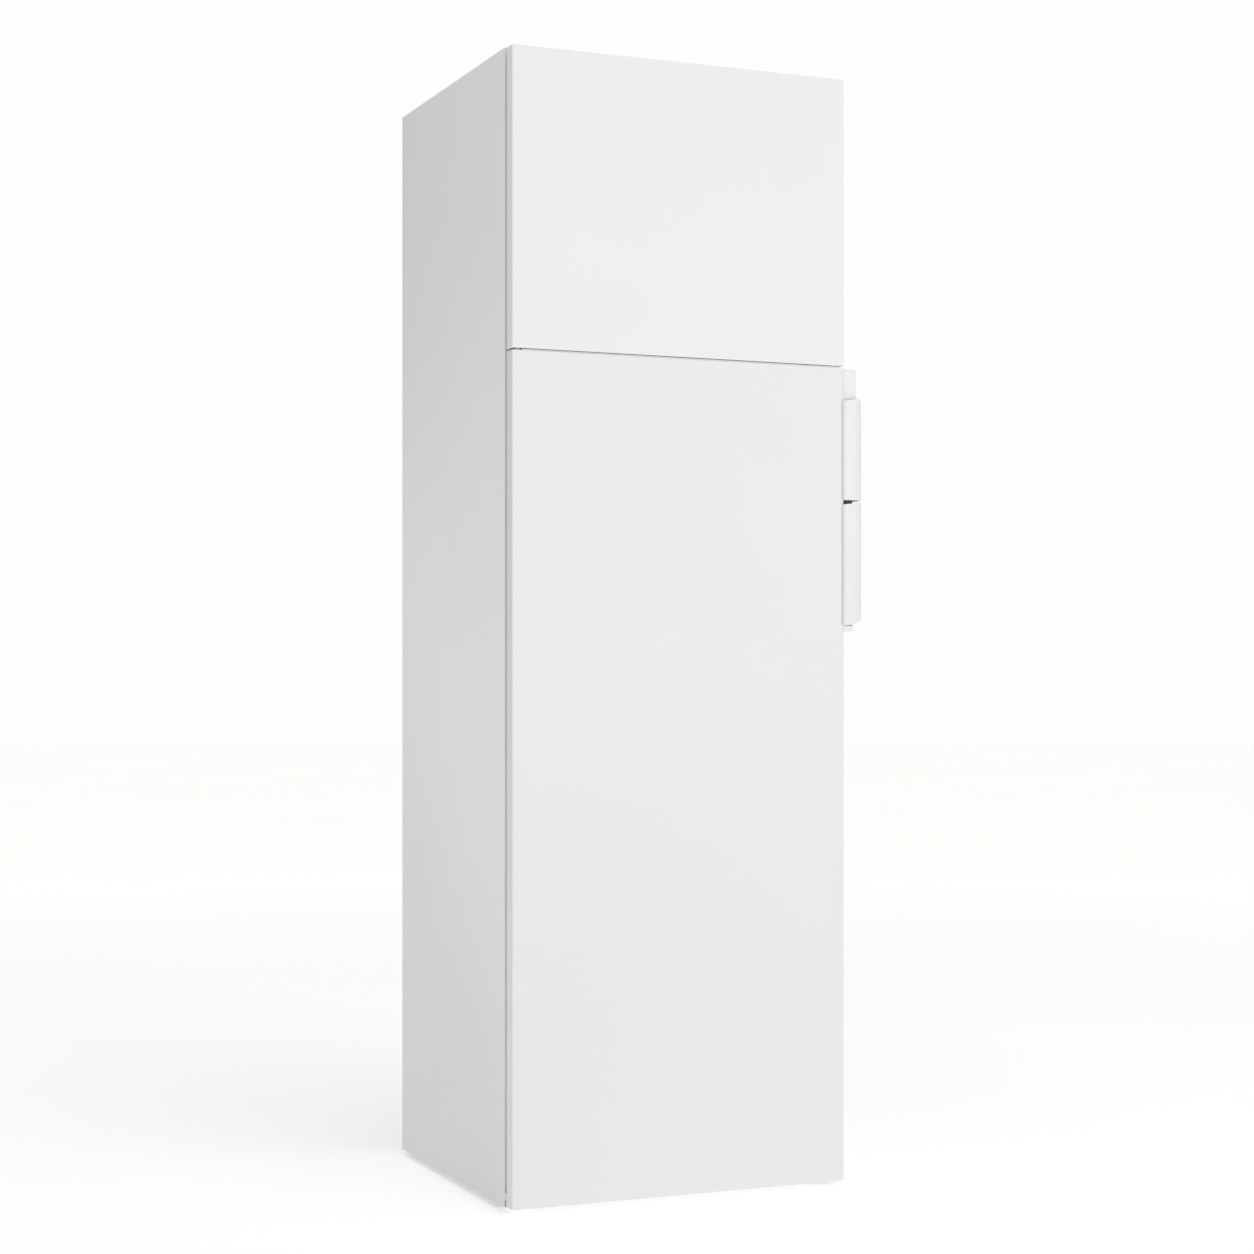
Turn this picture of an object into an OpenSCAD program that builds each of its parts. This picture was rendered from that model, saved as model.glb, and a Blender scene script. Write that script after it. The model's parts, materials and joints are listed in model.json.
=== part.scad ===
// Free-standing refrigerator with a small freezer compartment on top.
// Work frame of the modules: X = 0 at the cabinet's centre line, Y = 0 at the cabinet's front
// face with the doors in front of it (negative Y), Z = 0 at the floor. placed() moves the whole
// assembly so that its origin lies under the centre of its bounding box.

/* [Cabinet] */
// Width across the side panels
cabinet_w = 600; // [590:5:640]
// Depth of the side panels
cabinet_d = 537; // [530:1:560]
// Height of the cabinet without its feet
cabinet_h = 1872; // [1840:4:1900]
// Clearance between the floor and the cabinet
foot_h = 8; // [8:1:10]
// Thickness of the insulated side walls
wall_t = 45; // [44:1:50]
// Thickness of the insulated back wall
back_t = 60; // [55:1:65]
// Thickness of the insulated top wall
ceiling_t = 50; // [45:1:55]
// Thickness of the insulated wall between the two compartments
divider_t = 64; // [62:1:70]

/* [Doors] */
// Height of the freezer door
freezer_door_h = 486; // [470:2:500]
// Thickness of the door slabs
door_t = 26; // [24:1:30]
// Gap between the door slabs and the cabinet, filled by the gaskets
seal_gap = 9; // [8:1:10]
// Gap between the two doors
door_gap = 3; // [3:1:6]

/* [Handle] */
// How far the grips stand out beside the door
grip_out = 38; // [34:1:42]
// How far the grips stand in front of the door
grip_proud = 6; // [5:1:9]
// Length of the upper grip
upper_grip_h = 170; // [150:5:190]
// Length of the lower grip
lower_grip_h = 206; // [180:2:220]

/* [Interior] */
// Spacing of the glass shelves
shelf_pitch = 245; // [235:5:250]
// Travel of the vegetable drawer with the door shut
drawer_travel = 50; // [20:5:60]

/* [Hidden] */
$fn = 48;

// Sheet metal and plastic wall thicknesses
sheet = 1;
liner_t = 2;
door_liner_t = 1.5;
bin_t = 2.5;
fit = 0.1;          // general clearance between neighbours
running = 0.08;     // radial clearance of turning parts

// Cabinet
half_w = cabinet_w / 2;
z0 = foot_h;
z1 = foot_h + cabinet_h;
flange_w = 36;      // front return flange of the side and top panels
rear_flange_w = 12;
cav_x = half_w - wall_t;
cav_y = cabinet_d - back_t;
floor_z = z0 + 82;
back_y = cabinet_d - sheet;
niche_y = cabinet_d - 210;   // compressor niche at the bottom of the back
niche_z = 230;
hump_t = 42;                 // insulation over the niche
hump_y = niche_y - hump_t;
hump_z = niche_z + hump_t;
plate_z = z0 + 28;           // underside of the base plate
plate_t = 2;

// Doors
leaf_t = 1.6;                // hinge leaves lie flush with the cabinet's top and bottom
leaf_gap = 0.4;
door_back = -seal_gap;
door_front = -seal_gap - door_t;
freezer_door = [z1 - leaf_t - leaf_gap - freezer_door_h, z1 - leaf_t - leaf_gap];
fridge_door = [z0 + leaf_t + leaf_gap, freezer_door[0] - door_gap];
split_z = (freezer_door[0] + fridge_door[1]) / 2;
freezer_floor = split_z + divider_t / 2;
freezer_ceiling = z1 - ceiling_t;
fridge_ceiling = split_z - divider_t / 2;
pin = [-half_w + 14, door_front + door_t / 2];   // hinge axis
pin_r = 4;
pin_l = 18;
leaf_r = pin_r + 2.5;        // end of the leaves, round the pin
backing_t = 3;
top_bolt_x = [4, 28];        // hinge screws, counted from the hinge axis
middle_bolt_x = [32, 58];
middle_bolt_z = split_z + 5.4;
bottom_bolt_x = [6, 20];
cap_h = 22;
front_lip = 3.2;             // the door sheet's folds, at the ends and behind
side_lip = 6.5;
back_lip = 14;
sweep_r = norm([14, door_t / 2]) + 0.6;          // circle swept by the door's hinge corner
plug_x = cav_x - 20;         // half width of the door's inner panel
plug_out = 22;               // its reach into the compartment
dike_w = 19;                 // upright ribs that hold the bins
freezer_plug = [freezer_floor + 10, freezer_ceiling - 10];
fridge_plug = [floor_z + 12, fridge_ceiling - 8];
bin_x = plug_x - dike_w - 2;
grip_pocket = [[half_w - 22, door_front + 4, freezer_door[0] + 60],
    [half_w, door_back - 3, freezer_door[0] + 190]];

// Interior levels: undersides of the glass shelves
crisper_z = 370;
shelf_z = [for (i = [1:3]) crisper_z + i * shelf_pitch];
shelf_y = [140, cav_y - 5];
glass_t = 4;
freezer_shelf_z = 1620;

// Handle: heights below its own top
handle_top = fridge_door[1] - 2.5;
upper_block_z = handle_top - 51;
upper_top = handle_top - 52;
upper_bottom = upper_top - upper_grip_h;
lower_top = upper_bottom - 7;
lower_bottom = lower_top - lower_grip_h;
grip_x0 = half_w - 3.5;
grip_x1 = half_w + grip_out;
grip_y = door_front - grip_proud;
grip_t = 4;
rail_x = half_w + 15;
screw_z = [lower_bottom + 50, lower_top - 40, upper_bottom + 40, upper_top - 40];

// Back of the cabinet
condenser_y = cabinet_d + 11;
condenser_x = 205;
condenser_z = [320, 1740];
strap_x = condenser_x + 54;
passes = 16;
tube_r = 2.5;
compressor_at = [60, cabinet_d - 107, plate_z + plate_t];
foot_at = [half_w - 38, 60];
roller_at = [half_w - 27, cabinet_d - 37, 15];
roller_r = 15;
knob_at = [0, 130];
switch_at = [45, fridge_ceiling - 17];
housing_y = [36, 300];
drain_at = [40, cav_y - 28];
evaporator_y = cav_y + liner_t;
plate_spaces = [
    [[-235, evaporator_y, freezer_floor + 25], [235, evaporator_y + 1.5, freezer_ceiling - 25]],
    [[-220, evaporator_y, shelf_z[1] + 40], [220, evaporator_y + 1.5, fridge_ceiling - 60]]];
wire_y = condenser_y + tube_r + 1 + fit;

// Outline with rounded corners, from points given as [x, y, radius]
function unit(v) = v / norm(v);
function turn(a) = a > 180 ? a - 360 : a < -180 ? a + 360 : a;
function corner(a, p, b, r, n) =
    let (u = unit(a - p), v = unit(b - p), half = acos(u * v) / 2,
        c = p + unit(u + v) * r / sin(half),
        s = p + u * r / tan(half) - c, e = p + v * r / tan(half) - c,
        from = atan2(s.y, s.x), by = turn(atan2(e.y, e.x) - from))
    [for (i = [0:n]) c + r * [cos(from + by * i / n), sin(from + by * i / n)]];
function flat(q) = [q.x, q.y];
function rounded(pts, n = 6) = let (k = len(pts)) [
    for (i = [0:k - 1])
        each pts[i][2] == 0 ? [flat(pts[i])]
            : corner(flat(pts[(i + k - 1) % k]), flat(pts[i]), flat(pts[(i + 1) % k]), pts[i][2], n)
];

module box(lo, hi) { translate(lo) cube(hi - lo); }
// The children's outline is drawn in Y and Z, and pulled along X
module along_x(x0, x1) { translate([x0, 0, 0]) rotate([90, 0, 90]) linear_extrude(x1 - x0) children(); }
// The children's outline is drawn in X and Z, and pulled along Y
module along_y(y0, y1) { translate([0, y1, 0]) rotate([90, 0, 0]) linear_extrude(y1 - y0) children(); }
module along_z(za, zb) { translate([0, 0, za]) linear_extrude(zb - za) children(); }
module pair_x() { children(); mirror([1, 0, 0]) children(); }
module rod(a, b, r) {
    d = b - a;
    translate(a) rotate([0, acos(d.z / norm(d)), atan2(d.y, d.x)]) cylinder(h = norm(d), r = r);
}
// Points of a route whose bends are rounded with radius r, in n steps each
function bend(a, p, b, r, n) =
    let (u = unit(a - p), v = unit(b - p), half = acos(u * v) / 2,
        c = p + unit(u + v) * r / sin(half), s = unit(p + u * r / tan(half) - c),
        e = unit(p + v * r / tan(half) - c), side = unit(e - (e * s) * s), by = 180 - 2 * half)
    [for (i = [0:n]) c + r * (cos(by * i / n) * s + sin(by * i / n) * side)];
function route(points, r, n = 5) = let (last = len(points) - 1) [
    points[0],
    for (i = [1:last - 1]) each bend(points[i - 1], points[i], points[i + 1], r, n),
    points[last]
];
function tangent(path, i) = unit(path[min(i + 1, len(path) - 1)] - path[max(i - 1, 0)]);
function upright(v, t) = unit(v - (v * t) * t);
// Closed tube of radius r along a route
module tube(path, r, sides = 10) {
    count = len(path);
    first = upright([0.36, 0.48, 0.8], tangent(path, 0));
    normals = [for (i = 0, v = first; i < count;
        i = i + 1, v = upright(v, tangent(path, min(i, count - 1)))) v];
    rings = [for (i = [0:count - 1], k = [0:sides - 1])
        path[i] + r * (cos(360 * k / sides) * normals[i]
            + sin(360 * k / sides) * cross(tangent(path, i), normals[i]))];
    walls = [for (i = [0:count - 2], k = [0:sides - 1]) let (m = (k + 1) % sides)
        [i * sides + k, (i + 1) * sides + k, (i + 1) * sides + m, i * sides + m]];
    ends = [[for (k = [0:sides - 1]) k], [for (k = [sides - 1:-1:0]) (count - 1) * sides + k]];
    polyhedron(rings, concat(walls, ends));
}

// ---- Cabinet body ----

module side_panel() {
    x = half_w - sheet;
    color("white") {
        box([x, 0, z0], [half_w, cabinet_d, z1]);
        box([half_w - flange_w, 0, z0], [x, sheet, z1 - leaf_t - fit]);
        box([half_w - rear_flange_w, cabinet_d - sheet, z0], [x, cabinet_d, z1 - sheet]);
    }
}
module side_panel_right() { side_panel(); }
module side_panel_left() { mirror([1, 0, 0]) side_panel(); }

// Rests on the side panels' flanges; a cut-out takes the top hinge's leaf
module top_panel() {
    x = half_w - sheet;
    f = half_w - flange_w;
    color("white") difference() {
        union() {
            box([-x, 0, z1 - sheet], [x, cabinet_d, z1]);
            box([-f, 0, z1 - flange_w], [f, sheet, z1 - sheet]);
            box([-f, cabinet_d - sheet, z1 - rear_flange_w], [f, cabinet_d, z1 - sheet]);
        }
        box([pin.x - leaf_r - fit, -1, z1 - leaf_t - fit], [pin.x + 40 + fit, 44 + fit, z1 + 1]);
    }
}

// Stepped sheet that closes the back and forms the compressor niche
module back_panel() {
    y = back_y;
    color("gainsboro") difference() {
        along_x(-half_w + sheet + fit, half_w - sheet - fit) polygon([
            [y, z1 - sheet - fit], [y, niche_z - sheet], [niche_y - sheet, niche_z - sheet],
            [niche_y - sheet, plate_z + plate_t], [niche_y - 2 * sheet, plate_z + plate_t],
            [niche_y - 2 * sheet, niche_z], [y - sheet, niche_z], [y - sheet, z1 - sheet - fit]
        ]);
        translate([drain_at.x, drain_at.y, niche_z - 5]) cylinder(h = 10, r = 7.2);
    }
}

// Space between the walls, less the two compartments
module insulation_foam() {
    x = half_w - sheet - fit;
    y = back_y - sheet;
    top = z1 - sheet - fit;
    color("khaki") difference() {
        along_x(-x, x) polygon([
            [sheet + liner_t, plate_z + plate_t], [niche_y - 2 * sheet, plate_z + plate_t],
            [niche_y - 2 * sheet, niche_z], [y, niche_z], [y, top], [sheet + liner_t, top]
        ]);
        box([-half_w, 0, z1 - leaf_t - backing_t - fit], [pin.x + 41, 45, z1]);
        for (dx = top_bolt_x) translate([pin.x + dx, 30, z1 - 30]) cylinder(h = 30, r = 3.1);
        for (dx = middle_bolt_x)
            translate([pin.x + dx, 0, middle_bolt_z]) rotate([-90, 0, 0]) cylinder(h = 22, r = 2.1);
        compartment(freezer_floor, freezer_ceiling, false, liner_t);
        compartment(floor_z, fridge_ceiling, true, liner_t);
        for (space = plate_spaces) box(space[0] - [fit, 1, fit], space[1] + fit * [1, 1, 1]);
        translate([drain_at.x, drain_at.y, niche_z - 1]) cylinder(h = hump_z - niche_z, r = 7.2);
    }
}

// Compartment solid, grown by g on all sides, with its back edges and its corners rounded
module compartment(bottom, top, step, g) {
    r = 14 + g;
    profile = step
        ? [[-60, bottom - g, 0], [hump_y + g, bottom - g, r], [hump_y + g, hump_z - g, 14],
            [cav_y + g, hump_z - g, r], [cav_y + g, top + g, r], [-60, top + g, 0]]
        : [[-60, bottom - g, 0], [cav_y + g, bottom - g, r], [cav_y + g, top + g, r],
            [-60, top + g, 0]];
    x = cav_x + g;
    intersection() {
        along_x(-x, x) polygon(rounded(profile));
        along_y(-60, cav_y + g + 1) polygon(rounded(
            [[-x, bottom - g, r], [x, bottom - g, r], [x, top + g, r], [-x, top + g, r]]));
    }
}

// Vacuum-formed liner: compartment walls and a front flange tucked behind the steel flanges
module liner(bottom, top, step) {
    fx = half_w - 8;
    difference() {
        union() {
            intersection() {
                compartment(bottom, top, step, liner_t);
                box([-half_w, sheet, 0], [half_w, cabinet_d, z1]);
            }
            box([-fx, sheet, bottom - 24], [fx, sheet + liner_t, top + 24]);
        }
        compartment(bottom, top, step, 0);
    }
}

module ledge(z, y0, y1) {
    pair_x() box([cav_x - 9, y0, z - 6], [cav_x + liner_t / 2, y1, z]);
}

module freezer_liner() {
    color("white") {
        liner(freezer_floor, freezer_ceiling, false);
        ledge(freezer_shelf_z - 3.2, 120, cav_y - 12);
    }
}

module fridge_liner() {
    color("white") difference() {
        union() {
            liner(floor_z, fridge_ceiling, true);
            for (z = shelf_z) ledge(z, 160, cav_y - 20);
            for (z = shelf_z) ledge(z - shelf_pitch / 2, 100, cav_y - 20);
            ledge(crisper_z, 160, cav_y - 20);
            ledge(crisper_z - 28, 160, cav_y - 20);
        }
        translate([drain_at.x, drain_at.y, hump_z - 10]) cylinder(h = 20, r = 7.2);
    }
}

// Steel strip across the front between the compartments
module mullion_rail() {
    x = half_w - flange_w - fit;
    color("white") difference() {
        box([-x, 0, fridge_ceiling + 3], [x, sheet, freezer_floor - 3]);
        for (dx = middle_bolt_x)
            translate([pin.x + dx, -1, middle_bolt_z]) rotate([-90, 0, 0]) cylinder(h = 3, r = 2.1);
    }
}

// Steel face below the lower compartment, with a toe strip that is relieved round the hinge
module base_front_rail() {
    x = half_w - flange_w - fit;
    toe = half_w - 0.5;
    color("white") difference() {
        union() {
            box([-x, 0, z0], [x, sheet, floor_z - 6]);
            box([-x, sheet, z0], [x, 14, z0 + 1.5]);
            box([-toe, -6, z0], [toe, 0, z0 + 24]);
        }
        translate([pin.x, pin.y, z0 - 1]) cylinder(h = 30, r = sweep_r);
        box([-half_w - 1, -7, z0 - 1], [pin.x + 41, -0.1, z0 + leaf_t + leaf_gap]);
    }
}

// Full-width plate on two inverted channels, with bosses for the feet and seats for the rollers
module base_frame() {
    x = half_w - sheet - fit;
    w = 24;
    t = 2;
    cx = roller_at.x;
    color("lightgray") difference() {
        union() {
            box([-x, 16, plate_z], [x, cabinet_d - 4, plate_z + plate_t]);
            pair_x() {
                difference() {
                    box([cx - w / 2, 16, z0], [cx + w / 2, cabinet_d - 8, plate_z]);
                    box([cx - w / 2 + t, 16 + t, z0 - 1], [cx + w / 2 - t, cabinet_d, plate_z - t]);
                }
                box([cx - w / 2, 16, z0], [cx + w / 2, 42, z0 + t]);
                translate([foot_at.x, foot_at.y, z0 + 12]) cylinder(h = plate_z - z0 - 12, r = 11.5);
            }
        }
        pair_x() {
            translate([foot_at.x, foot_at.y, 0]) cylinder(h = plate_z - 0.5, r = 5 + running);
            translate([0, roller_at.y, roller_at.z]) rotate([0, 90, 0]) cylinder(h = half_w, r = 3);
        }
        for (dx = bottom_bolt_x) translate([pin.x + dx, 26, z0 - 1]) cylinder(h = 10, r = 2.6);
    }
}

module roller_axles() {
    color("silver") pair_x()
        translate([roller_at.x - 12, roller_at.y, roller_at.z]) rotate([0, 90, 0]) cylinder(h = 24, r = 3);
}

// ---- Cooling circuit ----

// Welded steel can on a four-legged base plate
module compressor() {
    r = 66;
    color("dimgray") translate(compressor_at) {
        translate([0, 0, 22]) rotate_extrude() intersection() {
            translate([0, 62]) union() {
                translate([0, -62]) square([r, 80]);
                translate([0, 0]) circle(r = 92);
            }
            square([r, 142]);
        }
        translate([0, 0, 78]) cylinder(h = 8, r = r + 3);
        difference() {
            box([-64, -74, 16], [64, 74, 22]);
            for (dx = [-52, 52], dy = [-62, 62]) translate([dx, dy, 10]) cylinder(h = 20, r = 6.2);
        }
    }
}

module compressor_grommets() {
    color("black") for (dx = [-52, 52], dy = [-62, 62])
        translate(compressor_at + [dx, dy, 0]) {
            cylinder(h = 16, r = 10);
            cylinder(h = 22, r = 6);
            translate([0, 0, 22]) cylinder(h = 3, r = 10);
        }
}

// Electrical box with the gland that the mains cord would enter
module terminal_box() {
    x0 = -200;
    y0 = cabinet_d - 95;
    z = plate_z + plate_t;
    color("black") difference() {
        union() {
            box([x0, y0, z], [x0 + 80, y0 + 60, z + 52]);
            translate([x0 + 40, y0 + 60, z + 26]) rotate([-90, 0, 0]) cylinder(h = 12, r = 9);
        }
        box([x0 + 3, y0 + 3, z + 3], [x0 + 77, y0 + 57, z + 49]);
        translate([x0 + 40, y0 + 56, z + 26]) rotate([-90, 0, 0]) cylinder(h = 20, r = 4.25);
    }
}

// Catches the defrost water above the warm compressor
module evaporation_tray() {
    c = compressor_at;
    z = c.z + 165;
    color("whitesmoke") difference() {
        box([c.x - 75, c.y - 55, z], [c.x + 75, c.y + 60, z + 20]);
        box([c.x - 73, c.y - 53, z + 2], [c.x + 73, c.y + 58, z + 21]);
    }
}

module drain_tube() {
    color("whitesmoke") translate([drain_at.x, drain_at.y, hump_z - 58]) difference() {
        union() {
            cylinder(h = 58, r = 7);
            translate([0, 0, 58]) cylinder(h = 2, r = 11);
        }
        translate([0, 0, -1]) cylinder(h = 62, r = 5.2);
    }
}

// Serpentine of straight passes and half-round bends
module condenser_tube() {
    pitch = (condenser_z[1] - condenser_z[0]) / (passes - 1);
    color("black") for (i = [0:passes - 1]) {
        side = i % 2 == 0 ? -1 : 1;
        z = condenser_z[0] + i * pitch;
        translate([0, condenser_y, z]) rotate([0, 90, 0])
            cylinder(h = 2 * condenser_x, r = tube_r, center = true);
        if (i < passes - 1)
            translate([side * condenser_x, condenser_y, z + pitch / 2]) rotate([90, 0, 0])
                rotate([0, 0, side > 0 ? -90 : 90]) rotate_extrude(angle = 180)
                    translate([pitch / 2, 0]) circle(r = tube_r);
    }
}

// Upright wires welded to the tube, with the two straps that screw to the back
module condenser_wires() {
    y = wire_y;
    n = 20;
    color("black") {
        for (i = [0:n])
            translate([-condenser_x + 5 + i * (2 * condenser_x - 10) / n, y, condenser_z[0] - 14])
                cylinder(h = condenser_z[1] - condenser_z[0] + 28, r = 0.9, $fn = 16);
        for (z = [condenser_z[0] + 110, condenser_z[1] - 90]) {
            box([-strap_x, y - 1, z], [strap_x, y + 1, z + 14]);
            pair_x() box([strap_x - 2, back_y, z], [strap_x, y + 1, z + 14]);
            pair_x() box([strap_x - 2, back_y, z], [strap_x + 12, back_y + 2, z + 14]);
        }
    }
}

// A point at the compressor's connection height, at a radius and an angle about its axis
function beside_compressor(r, a) = compressor_at + [r * cos(a), r * sin(a), 60];

// Discharge line, suction line, and the liquid line down to its filter drier
module refrigerant_lines() {
    z = compressor_at.z + 60;
    y = cabinet_d - 14;
    cy = condenser_y;
    end_x = condenser_x + fit;
    drier = [264, 500, 105];
    drier_l = 80;
    top = niche_z - sheet - fit;
    color("peru") {
        tube(route([beside_compressor(66.2, 45), beside_compressor(86, 45), [150, y, z], [228, y, z],
            [228, cy, z], [228, cy, condenser_z[0]], [end_x, cy, condenser_z[0]]], 6), 2.4);
        tube(route([beside_compressor(66.2, 135), beside_compressor(90, 135), [-24, y, z], [-24, y, top]],
            7), 3.2);
        tube(route([[end_x, cy, condenser_z[1]], [drier.x, cy, condenser_z[1]], [drier.x, cy, 60],
            [drier.x, drier.y, 60], drier], 8), 2.4);
        translate(drier + [0, 0, fit]) cylinder(h = drier_l, r = 9);
        translate(drier + [0, 0, drier_l + 2 * fit]) cylinder(h = top - drier.z - drier_l - 2 * fit, r = 2);
    }
}

// Roll-bonded plates behind the compartments' back walls
module evaporator_plates() {
    color("silver") for (space = plate_spaces) box(space[0], space[1]);
}

// ---- Interior ----

// Ceiling unit with the thermostat, the lamp and the door switch
module control_housing() {
    z = fridge_ceiling - 36;
    color("whitesmoke") difference() {
        along_z(z, fridge_ceiling) polygon(rounded([[-70, housing_y[0], 10], [70, housing_y[0], 10],
            [70, housing_y[1], 16], [-70, housing_y[1], 16]]));
        translate([switch_at.x, housing_y[0] - 1, switch_at.y]) rotate([-90, 0, 0])
            cylinder(h = 26, r = 4 + running);
        translate([knob_at.x, knob_at.y, z - 1]) cylinder(h = 13, r = 3.5 + running);
    }
}

module temperature_knob() {
    z = fridge_ceiling - 36 - 0.4;
    color("white") translate([knob_at.x, knob_at.y, 0]) {
        translate([0, 0, z - 5]) cylinder(h = 5, r = 21);
        translate([0, 0, z - 13]) cylinder(h = 8, r = 15);
        translate([-3, -17, z - 15]) cube([6, 34, 10]);
        translate([0, 0, z]) cylinder(h = 11, r = 3.5);
    }
}

module lamp_cover() {
    z = fridge_ceiling - 36;
    color("white", 0.6) difference() {
        along_z(z - 12, z) polygon(rounded([[-48, 185, 10], [48, 185, 10], [48, 285, 10], [-48, 285, 10]]));
        along_z(z - 10, z + 1) polygon(rounded([[-46, 187, 8], [46, 187, 8], [46, 283, 8], [-46, 283, 8]]));
    }
}

// Pressed in by the lower door's inner panel
module door_switch_plunger() {
    color("white") translate([switch_at.x, plug_out + 0.4, switch_at.y]) rotate([-90, 0, 0])
        cylinder(h = 30, r = 4);
}

module shelf_glass(z) {
    color("lightcyan", 0.4) box([-cav_x + 5, shelf_y[0] + 5, z], [cav_x - 5, shelf_y[1] - 5, z + glass_t]);
}
module shelf_glass_upper() { shelf_glass(shelf_z[2]); }
module shelf_glass_middle() { shelf_glass(shelf_z[1]); }
module shelf_glass_lower() { shelf_glass(shelf_z[0]); }
module crisper_glass() { shelf_glass(crisper_z); }

// Front and rear edge profiles of all four glass plates
module shelf_trims() {
    x = cav_x - 3.5;
    color("white") for (z = [crisper_z, each shelf_z]) difference() {
        union() {
            along_x(-x, x) polygon(rounded([[shelf_y[0], z - 4, 3], [shelf_y[0] + 15, z - 4, 1],
                [shelf_y[0] + 15, z + 6, 1], [shelf_y[0], z + 9, 4]]));
            along_x(-x, x) polygon(rounded([[shelf_y[1] - 14, z - 4, 1], [shelf_y[1], z - 4, 1],
                [shelf_y[1], z + 24, 1.5], [shelf_y[1] - 4, z + 24, 1.5], [shelf_y[1] - 6, z + 8, 2],
                [shelf_y[1] - 14, z + 7, 1]]));
        }
        box([-cav_x + 4.9, shelf_y[0] + 4.9, z], [cav_x - 4.9, shelf_y[1] - 4.9, z + glass_t]);
    }
}

// Rods on a frame, one welded grid
module freezer_shelf() {
    x = cav_x - 5;
    y0 = 130;
    y1 = cav_y - 12;
    n = 14;
    z = freezer_shelf_z;
    color("white") {
        for (y = [y0, y1, (y0 + y1) / 2]) rod([-x, y, z], [x, y, z], 3);
        pair_x() rod([x - 3, y0, z], [x - 3, y1, z], 3);
        for (i = [1:n - 1]) rod([-x + i * 2 * x / n, y0, z + 2], [-x + i * 2 * x / n, y1, z + 2], 1.75);
    }
}

// Vegetable drawer, deep in front and shallow over the hump, hung on its rim
module crisper_drawer() {
    x = cav_x - 13;
    y = [120 + drawer_travel, hump_y - 12, cav_y - 16];
    z = [floor_z + 6, hump_z + 12, crisper_z - 24];
    t = bin_t;
    color("aliceblue", 0.5) {
        difference() {
            along_x(-x, x) polygon(rounded([[y[0], z[0], 8], [y[1], z[0], 8], [y[1], z[1], 8],
                [y[2], z[1], 8], [y[2], z[2], 0], [y[0], z[2], 0]]));
            along_x(-x + t, x - t) polygon(rounded([[y[0] + t, z[0] + t, 6], [y[1] - t, z[0] + t, 6],
                [y[1] - t, z[1] + t, 10], [y[2] - t, z[1] + t, 6], [y[2] - t, z[2] + 1, 0],
                [y[0] + t, z[2] + 1, 0]]));
            box([-70, y[0] - 1, z[2] - 34], [70, y[0] + t + 1, z[2] - 14]);
        }
        pair_x() box([x - 1, y[0] + 14, z[2] - 3.7], [x + 8, y[2], z[2]]);
    }
}

// ---- Hinges ----

// Leaf outline round the pin, reaching back to the cabinet
module leaf(z, reach) {
    along_z(z, z + leaf_t) {
        translate(pin) circle(r = leaf_r);
        translate([pin.x - leaf_r, pin.y]) square([2 * leaf_r, -pin.y + reach]);
        polygon([[pin.x + leaf_r, pin.y + 8], [pin.x + 40, -1], [pin.x + 40, reach], [pin.x, reach]]);
    }
}

// Leaf flush in the cabinet's top, its pin reaching down, and the backing plate under it
module top_hinge() {
    z = z1 - leaf_t;
    color("white") difference() {
        union() {
            leaf(z, 44);
            translate([pin.x, pin.y, z - pin_l]) cylinder(h = pin_l + 1, r = pin_r);
            box([pin.x - leaf_r, sheet + liner_t, z - backing_t], [pin.x + 40, 44, z]);
        }
        for (dx = top_bolt_x) translate([pin.x + dx, 30, 0]) {
            translate([0, 0, z - 5]) cylinder(h = 10, r = 3.1);
            translate([0, 0, z]) cylinder(h = leaf_t + 0.01, r1 = 3.2, r2 = 5.4);
        }
    }
}

// Leaf in the gap between the doors, a pin each way, screwed to the mullion
module middle_hinge() {
    z = split_z - leaf_t / 2;
    color("white") difference() {
        union() {
            along_z(z, z + leaf_t) {
                translate(pin) circle(r = leaf_r);
                translate([pin.x - leaf_r, pin.y]) square([2 * leaf_r, -pin.y - 2.2]);
                polygon([[pin.x + leaf_r, pin.y + 8], [pin.x + 70, -2.2], [pin.x + 70, 0], [pin.x + 8, 0],
                    [pin.x + 8, -4]]);
            }
            box([pin.x + 8, -2.2, split_z - 9], [pin.x + 72, 0, split_z + 9]);
            translate([pin.x, pin.y, split_z - pin_l]) cylinder(h = 2 * pin_l, r = pin_r);
        }
        for (dx = middle_bolt_x)
            translate([pin.x + dx, -4, middle_bolt_z]) rotate([-90, 0, 0]) cylinder(h = 6, r = 2.1);
    }
}

// Leaf flush with the cabinet's underside, its pin reaching up
module bottom_hinge() {
    color("white") difference() {
        union() {
            leaf(z0, -0.1);
            box([pin.x - leaf_r, -0.2, z0 - leaf_t], [pin.x + 40, 44, z0]);
            box([pin.x - leaf_r, -2.1, z0 - leaf_t], [pin.x + 40, -0.1, z0 + leaf_t]);
            translate([pin.x, pin.y, z0 + 1]) cylinder(h = pin_l, r = pin_r);
        }
        for (dx = bottom_bolt_x) translate([pin.x + dx, 26, z0 - 5]) cylinder(h = 10, r = 2.6);
    }
}

// Screws of the three hinges
module hinge_bolts() {
    color("silver") {
        for (dx = top_bolt_x) translate([pin.x + dx, 30, z1 - 22]) {
            cylinder(h = 21, r = 3);
            translate([0, 0, 22 - leaf_t]) cylinder(h = leaf_t, r1 = 3, r2 = 5.2);
        }
        for (dx = middle_bolt_x) translate([pin.x + dx, -2.2, middle_bolt_z]) rotate([-90, 0, 0]) {
            cylinder(h = 22, r = 2);
            translate([0, 0, -1.8]) cylinder(h = 1.8, r1 = 3.4, r2 = 4);
        }
        for (dx = bottom_bolt_x) translate([pin.x + dx, 26, z0 - leaf_t - 1.5]) {
            cylinder(h = 1.5, r1 = 4, r2 = 4.6);
            cylinder(h = 9, r = 2.5);
        }
    }
}

// ---- Feet and rollers ----

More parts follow.
